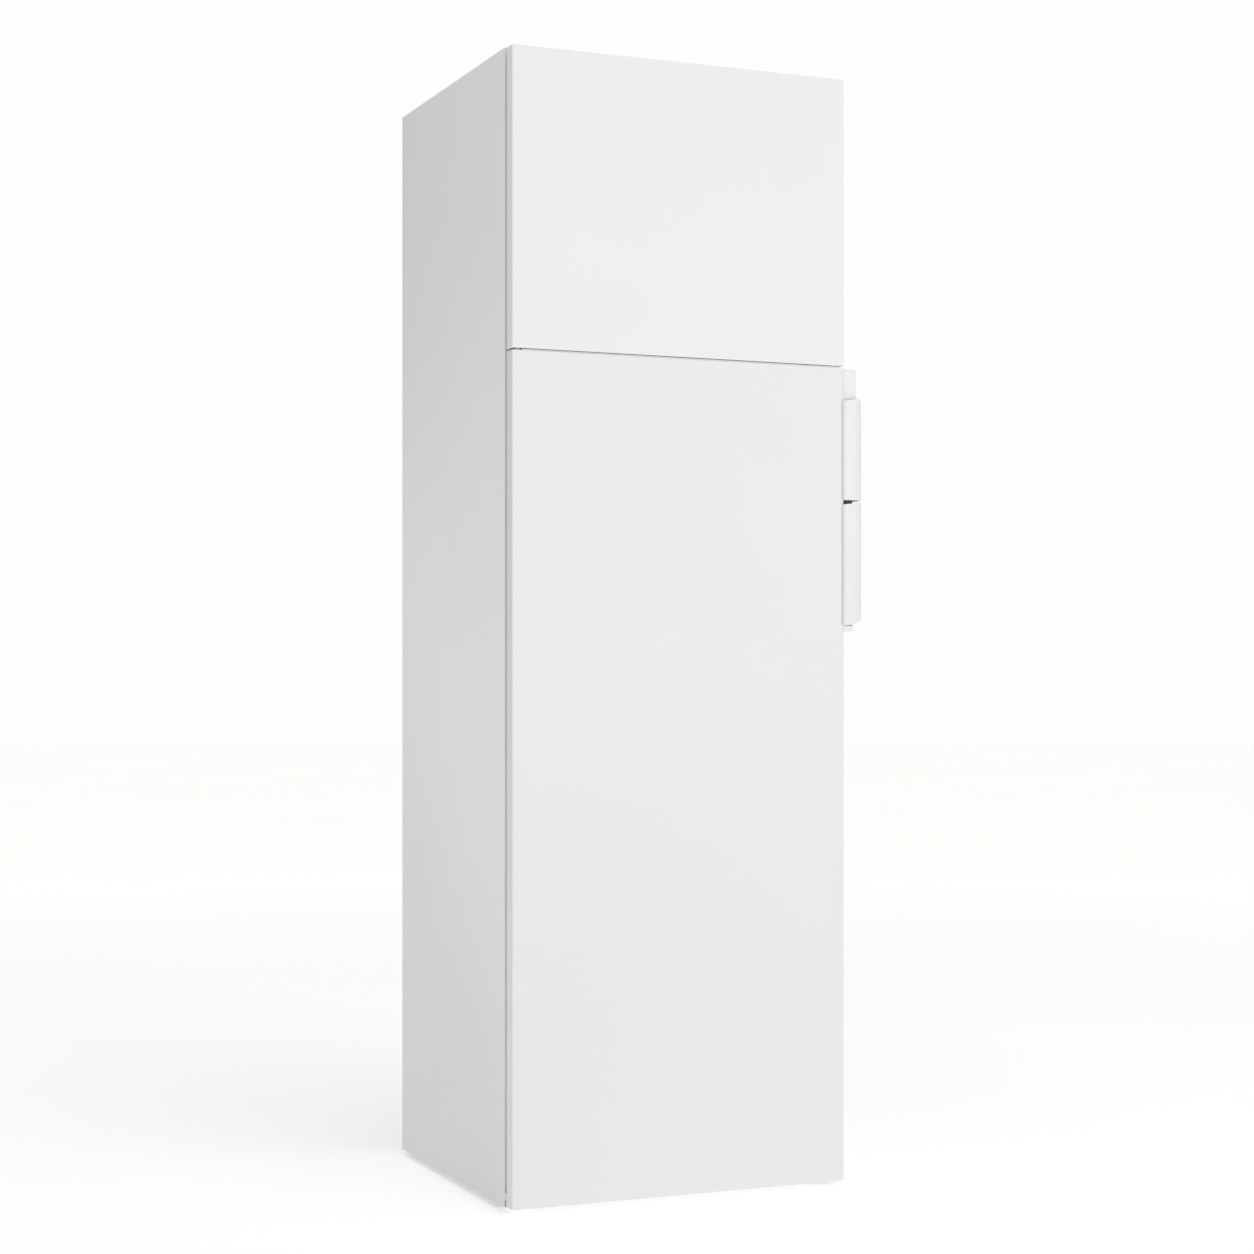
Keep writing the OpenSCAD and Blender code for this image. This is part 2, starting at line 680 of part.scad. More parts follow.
module foot() {
    color("black") translate([foot_at.x, foot_at.y, 0]) {
        cylinder(h = 5, r = 17);
        cylinder(h = plate_z - 1, r = 5);
    }
}
module foot_right() { foot(); }
module foot_left() { mirror([1, 0, 0]) foot(); }

module roller() {
    color("dimgray") translate([roller_at.x - 7, roller_at.y, roller_at.z]) rotate([0, 90, 0]) difference() {
        cylinder(h = 14, r = roller_r);
        translate([0, 0, -1]) cylinder(h = 16, r = 3 + running);
    }
}
module roller_right() { roller(); }
module roller_left() { mirror([1, 0, 0]) roller(); }

// ---- Doors ----

// Sheet wrapped round the front and both edges, folded in behind and, as a narrow lip, at both ends
module door_skin(span) {
    r = 2.5;
    x = half_w;
    inner = r - sheet;
    difference() {
        along_z(span[0], span[1]) polygon(rounded([[-x, door_front, r], [x, door_front, r],
            [x, door_back, 1], [-x, door_back, 1]], 4));
        along_z(span[0] + sheet, span[1] - sheet) polygon(rounded([[-x + sheet, door_front + sheet, inner],
            [x - sheet, door_front + sheet, inner], [x - sheet, door_back - sheet, 0],
            [-x + sheet, door_back - sheet, 0]], 4));
        box([-x + side_lip, door_front + front_lip, span[0] - 1],
            [x - side_lip, door_back - sheet, span[1] + 1]);
        box([-x + back_lip, door_back - 2 * sheet, span[0] - 1],
            [x - back_lip, door_back + sheet, span[1] + 1]);
    }
}

// Space that the recessed grip takes in the edge of the freezer door
module pocket_space() {
    box(grip_pocket[0] - fit * [1, 1, 1], grip_pocket[1] + [1, fit, fit]);
}

// Plastic end pieces behind the sheet's lips, with the hinge pin's bush
module door_caps(span) {
    x = half_w - sheet - fit;
    y0 = door_front + sheet + fit;
    y1 = door_back - door_liner_t;
    inset = sheet + fit;
    color("white") difference() {
        for (z = [[span[0] + inset, span[0] + cap_h], [span[1] - cap_h, span[1] - inset]])
            along_z(z[0], z[1]) polygon(rounded([[-x, y0, 1.5], [x, y0, 1.5], [x, y1, 0], [-x, y1, 0]], 3));
        for (z = [span[0] - 1, span[1] - pin_l - 1])
            translate([pin.x, pin.y, z]) cylinder(h = pin_l + 2, r = pin_r + running);
    }
}

// Foam in the slab, in the inner panel's raised field and in its two upright ribs
module door_foam(span, plug, rib) {
    x = half_w - sheet - fit;
    y = door_front + sheet + fit;
    t = door_liner_t;
    along_z(span[0] + cap_h, span[1] - cap_h)
        polygon(rounded([[-x, y, 1.5], [x, y, 1.5], [x, door_back - t, 0], [-x, door_back - t, 0]], 3));
    box([-plug_x + t, door_back - t - 1, plug[0] + t], [plug_x - t, plug_out - t, plug[1] - t]);
    pair_x() box([plug_x - dike_w + t, 0, plug[0] + t], [plug_x - t, rib - t, plug[1] - t]);
}

// Formed inner panel: flat border, raised field, upright ribs
module door_liner(span, plug, rib) {
    t = door_liner_t;
    e = half_w - back_lip - fit;
    color("white") difference() {
        union() {
            box([-e, door_back - t, span[0]], [e, door_back, span[1]]);
            box([-plug_x, door_back - t, plug[0]], [plug_x, plug_out, plug[1]]);
            pair_x() along_z(plug[0], plug[1]) polygon(rounded([[plug_x - dike_w, 0, 0], [plug_x, 0, 0],
                [plug_x, rib, 5], [plug_x - dike_w, rib, 5]], 4));
        }
        box([-plug_x + t, door_back - t - 1, plug[0] + t], [plug_x - t, plug_out - t, plug[1] - t]);
        pair_x() box([plug_x - dike_w + t, 0, plug[0] + t], [plug_x - t, rib - t, plug[1] - t]);
    }
}

// Magnetic seal: a rectangular ring behind the slab
module door_gasket(z_out, z_in) {
    x_out = half_w - 15;
    x_in = x_out - 16;
    color("gainsboro") difference() {
        box([-x_out, door_back, z_out[0]], [x_out, -0.3, z_out[1]]);
        box([-x_in, door_back - 1, z_in[0]], [x_in, 1, z_in[1]]);
    }
}

// Open tray between the ribs, with rounded front corners
module bin(z, h, y) {
    t = bin_t;
    difference() {
        along_z(z, z + h) polygon(rounded([[-bin_x, y[0], 2], [bin_x, y[0], 2], [bin_x, y[1], 22],
            [-bin_x, y[1], 22]]));
        along_z(z + t, z + h + 1) polygon(rounded([[-bin_x + t, y[0] + t, 2], [bin_x - t, y[0] + t, 2],
            [bin_x - t, y[1] - t, 20], [-bin_x + t, y[1] - t, 20]]));
    }
}

freezer_rib = 60;
fridge_rib = 75;
bin_y0 = plug_out + fit;

module freezer_door_skin() {
    color("white") difference() {
        door_skin(freezer_door);
        pocket_space();
    }
}
module freezer_door_caps() { door_caps(freezer_door); }
module freezer_door_foam() {
    color("khaki") difference() {
        door_foam(freezer_door, freezer_plug, freezer_rib);
        pocket_space();
    }
}
module freezer_door_liner() { door_liner(freezer_door, freezer_plug, freezer_rib); }
module freezer_door_gasket() {
    door_gasket([freezer_door[0] + 10, freezer_door[1] - 10], [freezer_door[0] + 26, freezer_door[1] - 26]);
}
module freezer_door_bins() {
    color("aliceblue", 0.6) {
        bin(freezer_plug[0] + 20, 75, [bin_y0, 88]);
        bin(freezer_plug[0] + 205, 75, [bin_y0, 88]);
    }
}

// Moulded cup for the fingers in the right edge of the freezer door
module freezer_grip() {
    t = 1.5;
    color("white") difference() {
        box(grip_pocket[0], grip_pocket[1]);
        box(grip_pocket[0] + [t, t, t], grip_pocket[1] + [1, -t, -t]);
    }
}

module fridge_door_skin() {
    color("white") difference() {
        door_skin(fridge_door);
        screw_holes();
    }
}
// The upper end piece has a bead that closes most of the gap between the doors
module fridge_door_caps() {
    y = door_front + front_lip + fit;
    door_caps(fridge_door);
    color("white") box([pin.x + 4, y, fridge_door[1] - cap_h / 2], [half_w - side_lip - fit, y + 1.5,
        fridge_door[1] + door_gap - leaf_t / 2]);
}
module fridge_door_foam() {
    color("khaki") difference() {
        door_foam(fridge_door, fridge_plug, fridge_rib);
        screw_holes();
    }
}
module fridge_door_liner() { door_liner(fridge_door, fridge_plug, fridge_rib); }
module fridge_door_gasket() {
    door_gasket([fridge_door[0] + 32, fridge_door[1] - 10], [fridge_door[0] + 48, fridge_door[1] - 26]);
}
module door_bins() { color("aliceblue", 0.6) for (z = [580, 850]) bin(z, 80, [bin_y0, 112]); }
module bottle_bin() { color("aliceblue", 0.6) bin(130, 115, [bin_y0, 115]); }

// Dairy compartment: an open tray and a lid that swings up about a pin near the door
dairy_z = 1100;
lid_pin = [44, dairy_z + 122];
module dairy_box() {
    color("aliceblue", 0.6) {
        bin(dairy_z, 50, [bin_y0, 96]);
        difference() {
            pair_x() along_x(bin_x - bin_t, bin_x) polygon(rounded([[bin_y0, dairy_z + 40, 0],
                [70, dairy_z + 40, 0], [56, lid_pin.y + 4, 6], [34, lid_pin.y + 10, 6],
                [bin_y0, lid_pin.y + 4, 4]]));
            translate([0, lid_pin.x, lid_pin.y]) rotate([0, 90, 0])
                cylinder(h = cabinet_w, r = 3 + running, center = true);
        }
    }
}

module dairy_lid() {
    x = bin_x - bin_t - 0.5;
    t = 2;
    color("lightcyan", 0.5) {
        difference() {
            along_x(-x, x) polygon(rounded([[34, lid_pin.y + 8, 0], [84, lid_pin.y + 8, 24],
                [104, lid_pin.y - 66, 0], [34, lid_pin.y - 66, 0]]));
            along_x(-x + t, x - t) polygon(rounded([[33, lid_pin.y + 6, 0], [82.4, lid_pin.y + 6, 22],
                [101.8, lid_pin.y - 67, 0], [33, lid_pin.y - 67, 0]]));
            along_x(-x - 1, x + 1) polygon([[33, lid_pin.y - 8], [98, lid_pin.y - 67], [33, lid_pin.y - 67]]);
        }
        pair_x() translate([x - 1, lid_pin.x, lid_pin.y]) rotate([0, 90, 0]) cylinder(h = bin_t + 1.2, r = 3);
    }
}

// ---- Handle on the lower door's right edge ----

// Black core bar that the grips are clipped over
module handle_rail() {
    color("black") difference() {
        box([half_w, grip_y + grip_t, lower_bottom + 1], [rail_x, door_front + 22, upper_top - 1]);
        screw_holes();
    }
}

module screw_holes() {
    for (z = screw_z)
        translate([half_w - 15, door_front + 10, z]) rotate([0, 90, 0]) cylinder(h = 32, r = 2.1);
}

module handle_screws() {
    color("silver") for (z = screw_z) translate([rail_x, door_front + 10, z]) rotate([0, 90, 0]) {
        cylinder(h = 2.4, r1 = 4.2, r2 = 3.2);
        translate([0, 0, -28]) cylinder(h = 28, r = 2);
    }
}

// End pieces above and below the grips
module handle_end_blocks() {
    x = half_w;
    low = lower_bottom - 10;
    y = [door_front + 0.5, door_front + 22];
    color("white") {
        along_y(y[0], y[1]) polygon(rounded([[x, upper_block_z, 0], [x + 23.5, upper_block_z, 0],
            [x + 23.5, handle_top, 4], [x + 1.5, handle_top, 1], [x + 1.5, handle_top - 1.5, 0],
            [x, handle_top - 1.5, 0]], 5));
        along_y(y[0], y[1]) polygon(rounded([[x, low, 1], [x + 19, low, 2],
            [x + 19, lower_bottom + 0.9, 0], [x, lower_bottom + 0.9, 0]], 5));
    }
}

// Grip section in plan: flat front that laps the door's edge, then a quarter round to a lip behind
function grip_plan() = let (x0 = grip_x0, x1 = grip_x1, y = grip_y, t = grip_t) rounded([
    [x0, door_front - 0.2, 0], [x0, y, 1.5], [x1, y, 21], [x1, y + 42, 2],
    [x1 - t, y + 42, 1.9], [x1 - t, y + t, 17], [half_w - 0.2, y + t, 0],
    [half_w - 0.2, door_front - 0.2, 0]]);

module grip(outline) {
    color("white") intersection() {
        along_z(lower_bottom - 5, upper_top + 20) polygon(grip_plan());
        along_y(grip_y - 1, grip_y + 60) polygon(outline);
    }
}
module upper_grip() {
    grip(rounded([[grip_x0, upper_bottom, 1], [grip_x1, upper_bottom, 1], [grip_x1, upper_top + 6, 18],
        [grip_x0, upper_top, 2]], 8));
}
module lower_grip() {
    grip(rounded([[grip_x0, lower_bottom, 2], [grip_x0 + 16, lower_bottom + 1.5, 8],
        [grip_x1, lower_bottom + 12, 8], [grip_x1, lower_top + 4.5, 2], [grip_x0, lower_top, 1]], 8));
}

// ---- Assembly ----

module placed() {
    translate([-grip_out / 2, -(grip_y + wire_y + 1) / 2, 0]) children();
}

placed() {
    side_panel_left();
    side_panel_right();
    top_panel();
    back_panel();
    insulation_foam();
    freezer_liner();
    fridge_liner();
    mullion_rail();
    base_front_rail();
    base_frame();
    compressor();
    compressor_grommets();
    terminal_box();
    evaporation_tray();
    condenser_tube();
    condenser_wires();
    refrigerant_lines();
    evaporator_plates();
    drain_tube();
    control_housing();
    lamp_cover();
    shelf_glass_upper();
    shelf_glass_middle();
    shelf_glass_lower();
    shelf_trims();
    crisper_glass();
    freezer_shelf();
    top_hinge();
    middle_hinge();
    bottom_hinge();
    hinge_bolts();
    roller_axles();
    temperature_knob();
    door_switch_plunger();
    crisper_drawer();
    foot_left();
    foot_right();
    roller_left();
    roller_right();
    freezer_door_skin();
    freezer_door_caps();
    freezer_door_foam();
    freezer_door_liner();
    freezer_door_gasket();
    freezer_door_bins();
    freezer_grip();
    fridge_door_skin();
    fridge_door_caps();
    fridge_door_foam();
    fridge_door_liner();
    fridge_door_gasket();
    dairy_box();
    dairy_lid();
    door_bins();
    bottle_bin();
    handle_rail();
    handle_end_blocks();
    upper_grip();
    lower_grip();
    handle_screws();
}
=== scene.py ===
"""Looks of the top freezer refrigerator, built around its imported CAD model. Units are metres."""

import json
import math

import bmesh
import bpy
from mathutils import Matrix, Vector


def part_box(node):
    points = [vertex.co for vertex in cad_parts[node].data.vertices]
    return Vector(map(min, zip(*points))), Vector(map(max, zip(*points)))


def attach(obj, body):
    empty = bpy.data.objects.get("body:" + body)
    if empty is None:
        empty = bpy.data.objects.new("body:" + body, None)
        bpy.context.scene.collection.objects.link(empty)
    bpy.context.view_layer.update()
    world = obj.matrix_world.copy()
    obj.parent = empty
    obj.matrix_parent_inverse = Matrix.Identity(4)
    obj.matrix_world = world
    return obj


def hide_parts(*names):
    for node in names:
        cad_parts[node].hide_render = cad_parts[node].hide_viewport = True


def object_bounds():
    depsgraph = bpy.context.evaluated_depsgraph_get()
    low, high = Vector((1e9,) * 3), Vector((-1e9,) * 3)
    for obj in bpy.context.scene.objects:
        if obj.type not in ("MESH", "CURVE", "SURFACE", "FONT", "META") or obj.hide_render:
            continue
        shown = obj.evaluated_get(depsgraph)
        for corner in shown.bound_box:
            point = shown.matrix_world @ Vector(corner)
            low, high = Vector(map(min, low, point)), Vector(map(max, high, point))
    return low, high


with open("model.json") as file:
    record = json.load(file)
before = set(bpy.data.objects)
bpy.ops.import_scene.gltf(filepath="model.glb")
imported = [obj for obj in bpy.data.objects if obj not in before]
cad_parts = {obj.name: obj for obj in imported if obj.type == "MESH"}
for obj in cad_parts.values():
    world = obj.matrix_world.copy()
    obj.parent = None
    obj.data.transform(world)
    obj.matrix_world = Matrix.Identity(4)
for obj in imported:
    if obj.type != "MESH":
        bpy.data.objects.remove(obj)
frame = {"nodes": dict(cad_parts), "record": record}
CAD_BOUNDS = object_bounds()
MM = 0.001
NEAR = 0.01 * MM             # coordinates closer than this are the same


# ---- Camera ----

VIEW_TURN = math.radians(23.13)      # the camera stands to the left of the doors and looks right
CAMERA_AT = Vector((-1.684, -3.954, 0.860))
LENS_MM = 70.05
HORIZON_SHIFT = 0.042


def add_camera():
    """The photograph's own view: level, with the frame raised by the shift."""
    data = bpy.data.cameras.new("camera")
    data.sensor_width = 36.0
    data.lens = LENS_MM
    data.shift_y = HORIZON_SHIFT
    camera = bpy.data.objects.new("camera", data)
    camera.location = CAMERA_AT
    camera.rotation_euler = (math.radians(90), 0, -VIEW_TURN)
    bpy.context.scene.collection.objects.link(camera)
    bpy.context.scene.camera = camera


# ---- Materials ----

class Shader:
    """A Principled material with a few node shortcuts. Textures use object coordinates, which are metres."""

    def __init__(self, name, **values):
        self.material = bpy.data.materials.new(name)
        self.material.use_nodes = True
        self.tree = self.material.node_tree
        self.surface = self.tree.nodes["Principled BSDF"]
        self.coords = self.tree.nodes.new("ShaderNodeTexCoord").outputs["Object"]
        for socket, value in values.items():
            self.surface.inputs[socket.replace("_", " ")].default_value = value

    def add(self, kind, **settings):
        node = self.tree.nodes.new(kind)
        for key, value in settings.items():
            setattr(node, key, value)
        return node

    def link(self, source, target):
        self.tree.links.new(source, target)

    def noise(self, scale, detail=2.0, stretch=None):
        node = self.add("ShaderNodeTexNoise")
        node.inputs["Scale"].default_value = scale
        node.inputs["Detail"].default_value = detail
        self.link(self.stretched(stretch), node.inputs["Vector"])
        return node.outputs["Fac"]

    def cells(self, scale, feature="F1", output="Color", stretch=None):
        node = self.add("ShaderNodeTexVoronoi", feature=feature)
        node.inputs["Scale"].default_value = scale
        self.link(self.stretched(stretch), node.inputs["Vector"])
        return node.outputs[output]

    def stretched(self, stretch):
        if stretch is None:
            return self.coords
        node = self.add("ShaderNodeMapping")
        node.inputs["Scale"].default_value = stretch
        self.link(self.coords, node.inputs["Vector"])
        return node.outputs["Vector"]

    def ramp(self, factor, low, high, span=(0.3, 0.7)):
        node = self.add("ShaderNodeMapRange")
        node.inputs["From Min"].default_value, node.inputs["From Max"].default_value = span
        node.inputs["To Min"].default_value, node.inputs["To Max"].default_value = low, high
        self.link(factor, node.inputs["Value"])
        return node.outputs["Result"]

    def colour(self, factor, low, high, span=(0.3, 0.7)):
        node = self.add("ShaderNodeMix", data_type="RGBA")
        node.inputs[6].default_value = (*low, 1)
        node.inputs[7].default_value = (*high, 1)
        self.link(self.ramp(factor, 0, 1, span), node.inputs["Factor"])
        self.link(node.outputs[2], self.surface.inputs["Base Color"])

    def roughness(self, factor, low, high, span=(0.3, 0.7)):
        self.link(self.ramp(factor, low, high, span), self.surface.inputs["Roughness"])

    def bump(self, height, depth, strength=1.0):
        node = self.add("ShaderNodeBump")
        node.inputs["Distance"].default_value = depth
        node.inputs["Strength"].default_value = strength
        self.link(height, node.inputs["Height"])
        for link in list(self.surface.inputs["Normal"].links):
            self.link(link.from_socket, node.inputs["Normal"])
        self.link(node.outputs["Normal"], self.surface.inputs["Normal"])


def painted_white():
    s = Shader("white_steel", Roughness=0.42, Specular_IOR_Level=0.42)
    s.colour(s.noise(2.3, 3), (0.832, 0.835, 0.832), (0.850, 0.852, 0.846))
    s.roughness(s.noise(9, 4), 0.38, 0.47)
    s.bump(s.noise(520, 1.5), 0.04 * MM, 0.35)
    s.bump(s.noise(2600, 1), 0.01 * MM, 0.3)
    return s.material


def vacuum_formed():
    s = Shader("liner_plastic", Roughness=0.3, Specular_IOR_Level=0.5)
    s.colour(s.noise(1.6, 2), (0.852, 0.856, 0.852), (0.866, 0.868, 0.862))
    s.roughness(s.noise(14, 1), 0.31, 0.34, (0.2, 0.8))
    s.bump(s.noise(240, 0), 0.01 * MM, 0.2)
    return s.material


def moulded_white():
    s = Shader("white_plastic", Roughness=0.4, Specular_IOR_Level=0.45)
    s.colour(s.noise(18, 3), (0.84, 0.842, 0.838), (0.862, 0.862, 0.855))
    s.roughness(s.noise(60, 3), 0.34, 0.46)
    s.bump(s.noise(1900, 1.5), 0.02 * MM, 0.5)
    return s.material


def moulded_black():
    s = Shader("black_plastic", Roughness=0.5)
    s.colour(s.noise(40, 3), (0.012, 0.012, 0.013), (0.022, 0.022, 0.024))
    s.roughness(s.noise(120, 3), 0.42, 0.6)
    s.bump(s.noise(1500, 2), 0.03 * MM, 0.6)
    return s.material


def soft_rubber(name, low, high):
    s = Shader(name, Roughness=0.62)
    s.colour(s.noise(25, 4), low, high)
    s.roughness(s.noise(90, 3), 0.52, 0.7)
    s.bump(s.noise(900, 2), 0.03 * MM, 0.5)
    return s.material


SPANGLE = 150       # crystals of the zinc coating, to the metre


def galvanised(name, tint, rough):
    s = Shader(name, Metallic=1.0)
    s.colour(s.cells(SPANGLE), [c * 0.88 for c in tint], tint, (0.2, 0.8))
    s.roughness(s.cells(SPANGLE), rough - 0.07, rough + 0.08, (0.2, 0.8))
    s.bump(s.noise(420, 3), 0.02 * MM, 0.4)
    return s.material


def black_enamel():
    s = Shader("black_steel", Roughness=0.35, Specular_IOR_Level=0.5)
    s.colour(s.noise(30, 4), (0.008, 0.008, 0.009), (0.018, 0.018, 0.019))
    s.roughness(s.noise(80, 3), 0.28, 0.45)
    s.bump(s.noise(600, 2), 0.04 * MM, 0.4)
    return s.material


def copper():
    s = Shader("copper_line", Metallic=1.0)
    s.colour(s.noise(60, 4), (0.60, 0.27, 0.16), (0.80, 0.42, 0.28))
    s.roughness(s.noise(150, 3), 0.22, 0.42)
    s.bump(s.noise(900, 2, (1, 1, 0.15)), 0.01 * MM, 0.5)
    return s.material


def rolled_aluminium():
    s = Shader("evaporator_aluminium", Metallic=1.0)
    s.colour(s.noise(50, 3), (0.62, 0.63, 0.64), (0.76, 0.77, 0.78))
    s.roughness(s.noise(700, 2, (1, 1, 0.05)), 0.3, 0.48)
    s.bump(s.noise(900, 2, (1, 1, 0.04)), 0.02 * MM, 0.4)
    return s.material


def rigid_foam():
    s = Shader("insulation", Roughness=0.85)
    s.colour(s.noise(35, 4), (0.72, 0.60, 0.30), (0.86, 0.76, 0.48))
    s.bump(s.cells(420, output="Distance"), 0.3 * MM, 0.7)
    s.roughness(s.noise(200, 2), 0.78, 0.92)
    return s.material


def clear_moulding():
    s = Shader("clear_plastic", Roughness=0.1, IOR=1.38, Transmission_Weight=0.5)
    s.colour(s.noise(12, 2), (0.945, 0.965, 0.972), (0.965, 0.98, 0.985))
    s.roughness(s.noise(45, 3), 0.06, 0.16)
    s.bump(s.noise(260, 2), 0.02 * MM, 0.2)
    return s.material


def tempered_glass():
    s = Shader("shelf_glass", Roughness=0.03, IOR=1.5, Transmission_Weight=0.92)
    s.colour(s.noise(6, 2), (0.88, 0.965, 0.93), (0.93, 0.985, 0.96))
    s.roughness(s.noise(25, 3), 0.01, 0.05)
    s.bump(s.noise(12, 2), 0.05 * MM, 0.1)
    return s.material


def coated_wire():
    s = Shader("coated_wire", Roughness=0.35)
    s.colour(s.noise(40, 3), (0.80, 0.81, 0.81), (0.88, 0.88, 0.88))
    s.roughness(s.noise(110, 3), 0.28, 0.42)
    s.bump(s.noise(700, 2), 0.03 * MM, 0.4)
    return s.material


def nylon():
    s = Shader("roller_plastic", Roughness=0.5)
    s.colour(s.noise(80, 3), (0.02, 0.02, 0.022), (0.045, 0.045, 0.048))
    s.roughness(s.noise(200, 3), 0.42, 0.6)
    s.bump(s.noise(1200, 2), 0.03 * MM, 0.5)
    return s.material


MATERIALS = {
    "white_steel": painted_white(),
    "galvanised_back": galvanised("galvanised_back", (0.62, 0.63, 0.64), 0.46),
    "galvanised_steel": galvanised("galvanised_steel", (0.66, 0.66, 0.67), 0.34),
    "insulation": rigid_foam(),
    "liner_plastic": vacuum_formed(),
    "white_plastic": moulded_white(),
    "black_steel": black_enamel(),
    "black_rubber": soft_rubber("black_rubber", (0.010, 0.010, 0.011), (0.022, 0.022, 0.023)),
    "black_plastic": moulded_black(),
    "copper_line": copper(),
    "evaporator_aluminium": rolled_aluminium(),
    "clear_plastic": clear_moulding(),
    "shelf_glass": tempered_glass(),
    "coated_wire": coated_wire(),
    "roller_plastic": nylon(),
    "grey_rubber": soft_rubber("grey_rubber", (0.74, 0.75, 0.745), (0.79, 0.795, 0.79)),
}
BODY_OF = {node: body for body, nodes in frame["record"]["behaviour"]["bodies"].items() for node in nodes}
SLOT_OF = {entry["node"]: entry["material_slot"] for entry in frame["record"]["subparts"]}


# ---- Mesh helpers ----

def add_piece(name, bm, node, smooth_degrees=32, replaces=True, slot=None, solid=None, bevel=None):
    """Makes a piece that rides with a CAD node's body and, unless told otherwise, stands for that node."""
    bmesh.ops.remove_doubles(bm, verts=bm.verts, dist=0.002 * MM)
    bmesh.ops.recalc_face_normals(bm, faces=bm.faces)
    mesh = bpy.data.meshes.new(name)
    bm.to_mesh(mesh)
    bm.free()
    for polygon in mesh.polygons:
        polygon.use_smooth = True
    mesh.set_sharp_from_angle(angle=math.radians(smooth_degrees))
    piece = bpy.data.objects.new(name, mesh)
    bpy.context.scene.collection.objects.link(piece)
    slot = slot or SLOT_OF[node]
    mesh.materials.append(MATERIALS[slot])
    if solid:
        add_solidify(piece, solid)
    if bevel:
        add_bevel(piece, bevel)
    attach(piece, BODY_OF[node])
    if replaces:
        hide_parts(node)


def add_solidify(piece, thickness):
    modifier = piece.modifiers.new("thickness", "SOLIDIFY")
    modifier.thickness = thickness
    modifier.offset = -1
    modifier.use_even_offset = True


def add_bevel(piece, width, segments=3, degrees=30):
    modifier = piece.modifiers.new("edges", "BEVEL")
    modifier.width = width
    modifier.segments = segments
    modifier.limit_method = "ANGLE"
    modifier.angle_limit = math.radians(degrees)
    modifier.use_clamp_overlap = True
    modifier.harden_normals = True


def add_box(bm, lo, hi):
    """An axis-aligned box, as new geometry in bm. Returns its vertices."""
    made = bmesh.ops.create_cube(bm, size=1.0)["verts"]
    size = Vector(hi) - Vector(lo)
    for v in made:
        v.co = Vector([lo[i] + (v.co[i] + 0.5) * size[i] for i in range(3)])
    return made


def rounded_box(bm, lo, hi, radius, segments=3):
    verts = add_box(bm, lo, hi)
    edges = dict.fromkeys(e for v in verts for e in v.link_edges)
    bmesh.ops.bevel(bm, geom=list(edges), offset=radius, segments=segments, profile=0.5, affect="EDGES")


def cut(bm, axis, place):
    """Splits every face of bm along the plane where that axis has that value."""
    normal = Vector((0, 0, 0))
    normal[axis] = 1
    at = Vector((0, 0, 0))
    at[axis] = place
    bmesh.ops.bisect_plane(bm, geom=bm.verts[:] + bm.edges[:] + bm.faces[:], plane_co=at, plane_no=normal)


def drop_faces(bm, wanted):
    """Deletes the faces whose centre passes the test."""
    bmesh.ops.delete(bm, geom=[f for f in bm.faces if wanted(f.calc_center_median())], context="FACES")


def outline(x, y, radii, steps=5):
    """Points round a rectangle with corner radii given anticlockwise from its low corner."""
    corners = [(x[0], y[0], 180), (x[1], y[0], 270), (x[1], y[1], 0), (x[0], y[1], 90)]
    points = []
    for (cx, cy, start), r in zip(corners, radii):
        ox = cx + (r if cx == x[0] else -r)
        oy = cy + (r if cy == y[0] else -r)
        for i in range(steps + 1):
            a = math.radians(start + 90 * i / steps)
            points.append((ox + r * math.cos(a), oy + r * math.sin(a)))
    return points


def quarter_turn(steps=4):
    """The angles of a quarter turn, both ends included."""
    return [math.radians(90 * i / steps) for i in range(steps + 1)]


def loft(bm, loops, closed_start=False, closed_end=False):
    """Bridges loops of equal length, each a list of points, with quads."""
    rings = [[bm.verts.new(p) for p in loop] for loop in loops]
    for a, b in zip(rings, rings[1:]):
        count = len(a)
        for i in range(count):
            j = (i + 1) % count
            bm.faces.new((a[i], a[j], b[j], b[i]))
    if closed_start:
        bm.faces.new(rings[0])
    if closed_end:
        bm.faces.new(rings[-1])


def islands(node):
    """The box of each separate solid of a CAD node, from low to high."""
    bm = bmesh.new()
    bm.from_mesh(frame["nodes"][node].data)
    bmesh.ops.remove_doubles(bm, verts=bm.verts, dist=0.001 * MM)
    left = set(bm.verts)
    boxes = []
    while left:
        stack = [left.pop()]
        low = Vector(stack[0].co)
        high = Vector(stack[0].co)
        while stack:
            v = stack.pop()
            for axis in range(3):
                low[axis] = min(low[axis], v.co[axis])
                high[axis] = max(high[axis], v.co[axis])
            for e in v.link_edges:
                other = e.other_vert(v)
                if other in left:
                    left.discard(other)
                    stack.append(other)
        boxes.append((low, high))
    bm.free()
    return sorted(boxes, key=lambda b: (round(b[0].z, 4), round(b[0].x, 4)))


# ---- Doors ----

SHEET = 0.8 * MM
SKIN_RADIUS = 1.5 * MM
FRONT_LIP = 3.2 * MM        # how far the front laps over a door's ends
SIDE_LIP = 6.5 * MM         # how far its sides lap over them
BACK_FLANGE = 14 * MM       # how far the sides are folded in behind the door
PLUG_MARGIN = 50.9 * MM     # from an inner panel's edge to its raised field
PLUG_RISE = 31 * MM         # how far the field stands behind the panel's border
PLUG_TAPER = 0.6 * MM       # the field's walls lean in by this much
PLUG_FOOT_MM = [(-7, 0, 9), (-2, 0.6, 4), (-0.3, 3, 2.2)]    # fillet at its foot: inset, height, radius


def raised_field(door):
    """Lowest and highest z of what stands inside the compartment, on a door's inner panel."""
    node = door + "_door_liner"
    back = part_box(node)[1].y
    heights = [v.co.z for v in frame["nodes"][node].data.vertices if v.co.y > back - 1 * MM]
    return min(heights), max(heights)


PLUG_Z = {door: raised_field(door) for door in ("freezer", "fridge")}
DOOR_BINS = {
    "freezer": islands("freezer_door_bins"),
    "fridge": islands("door_bins") + islands("bottle_bin") + islands("dairy_box"),
}


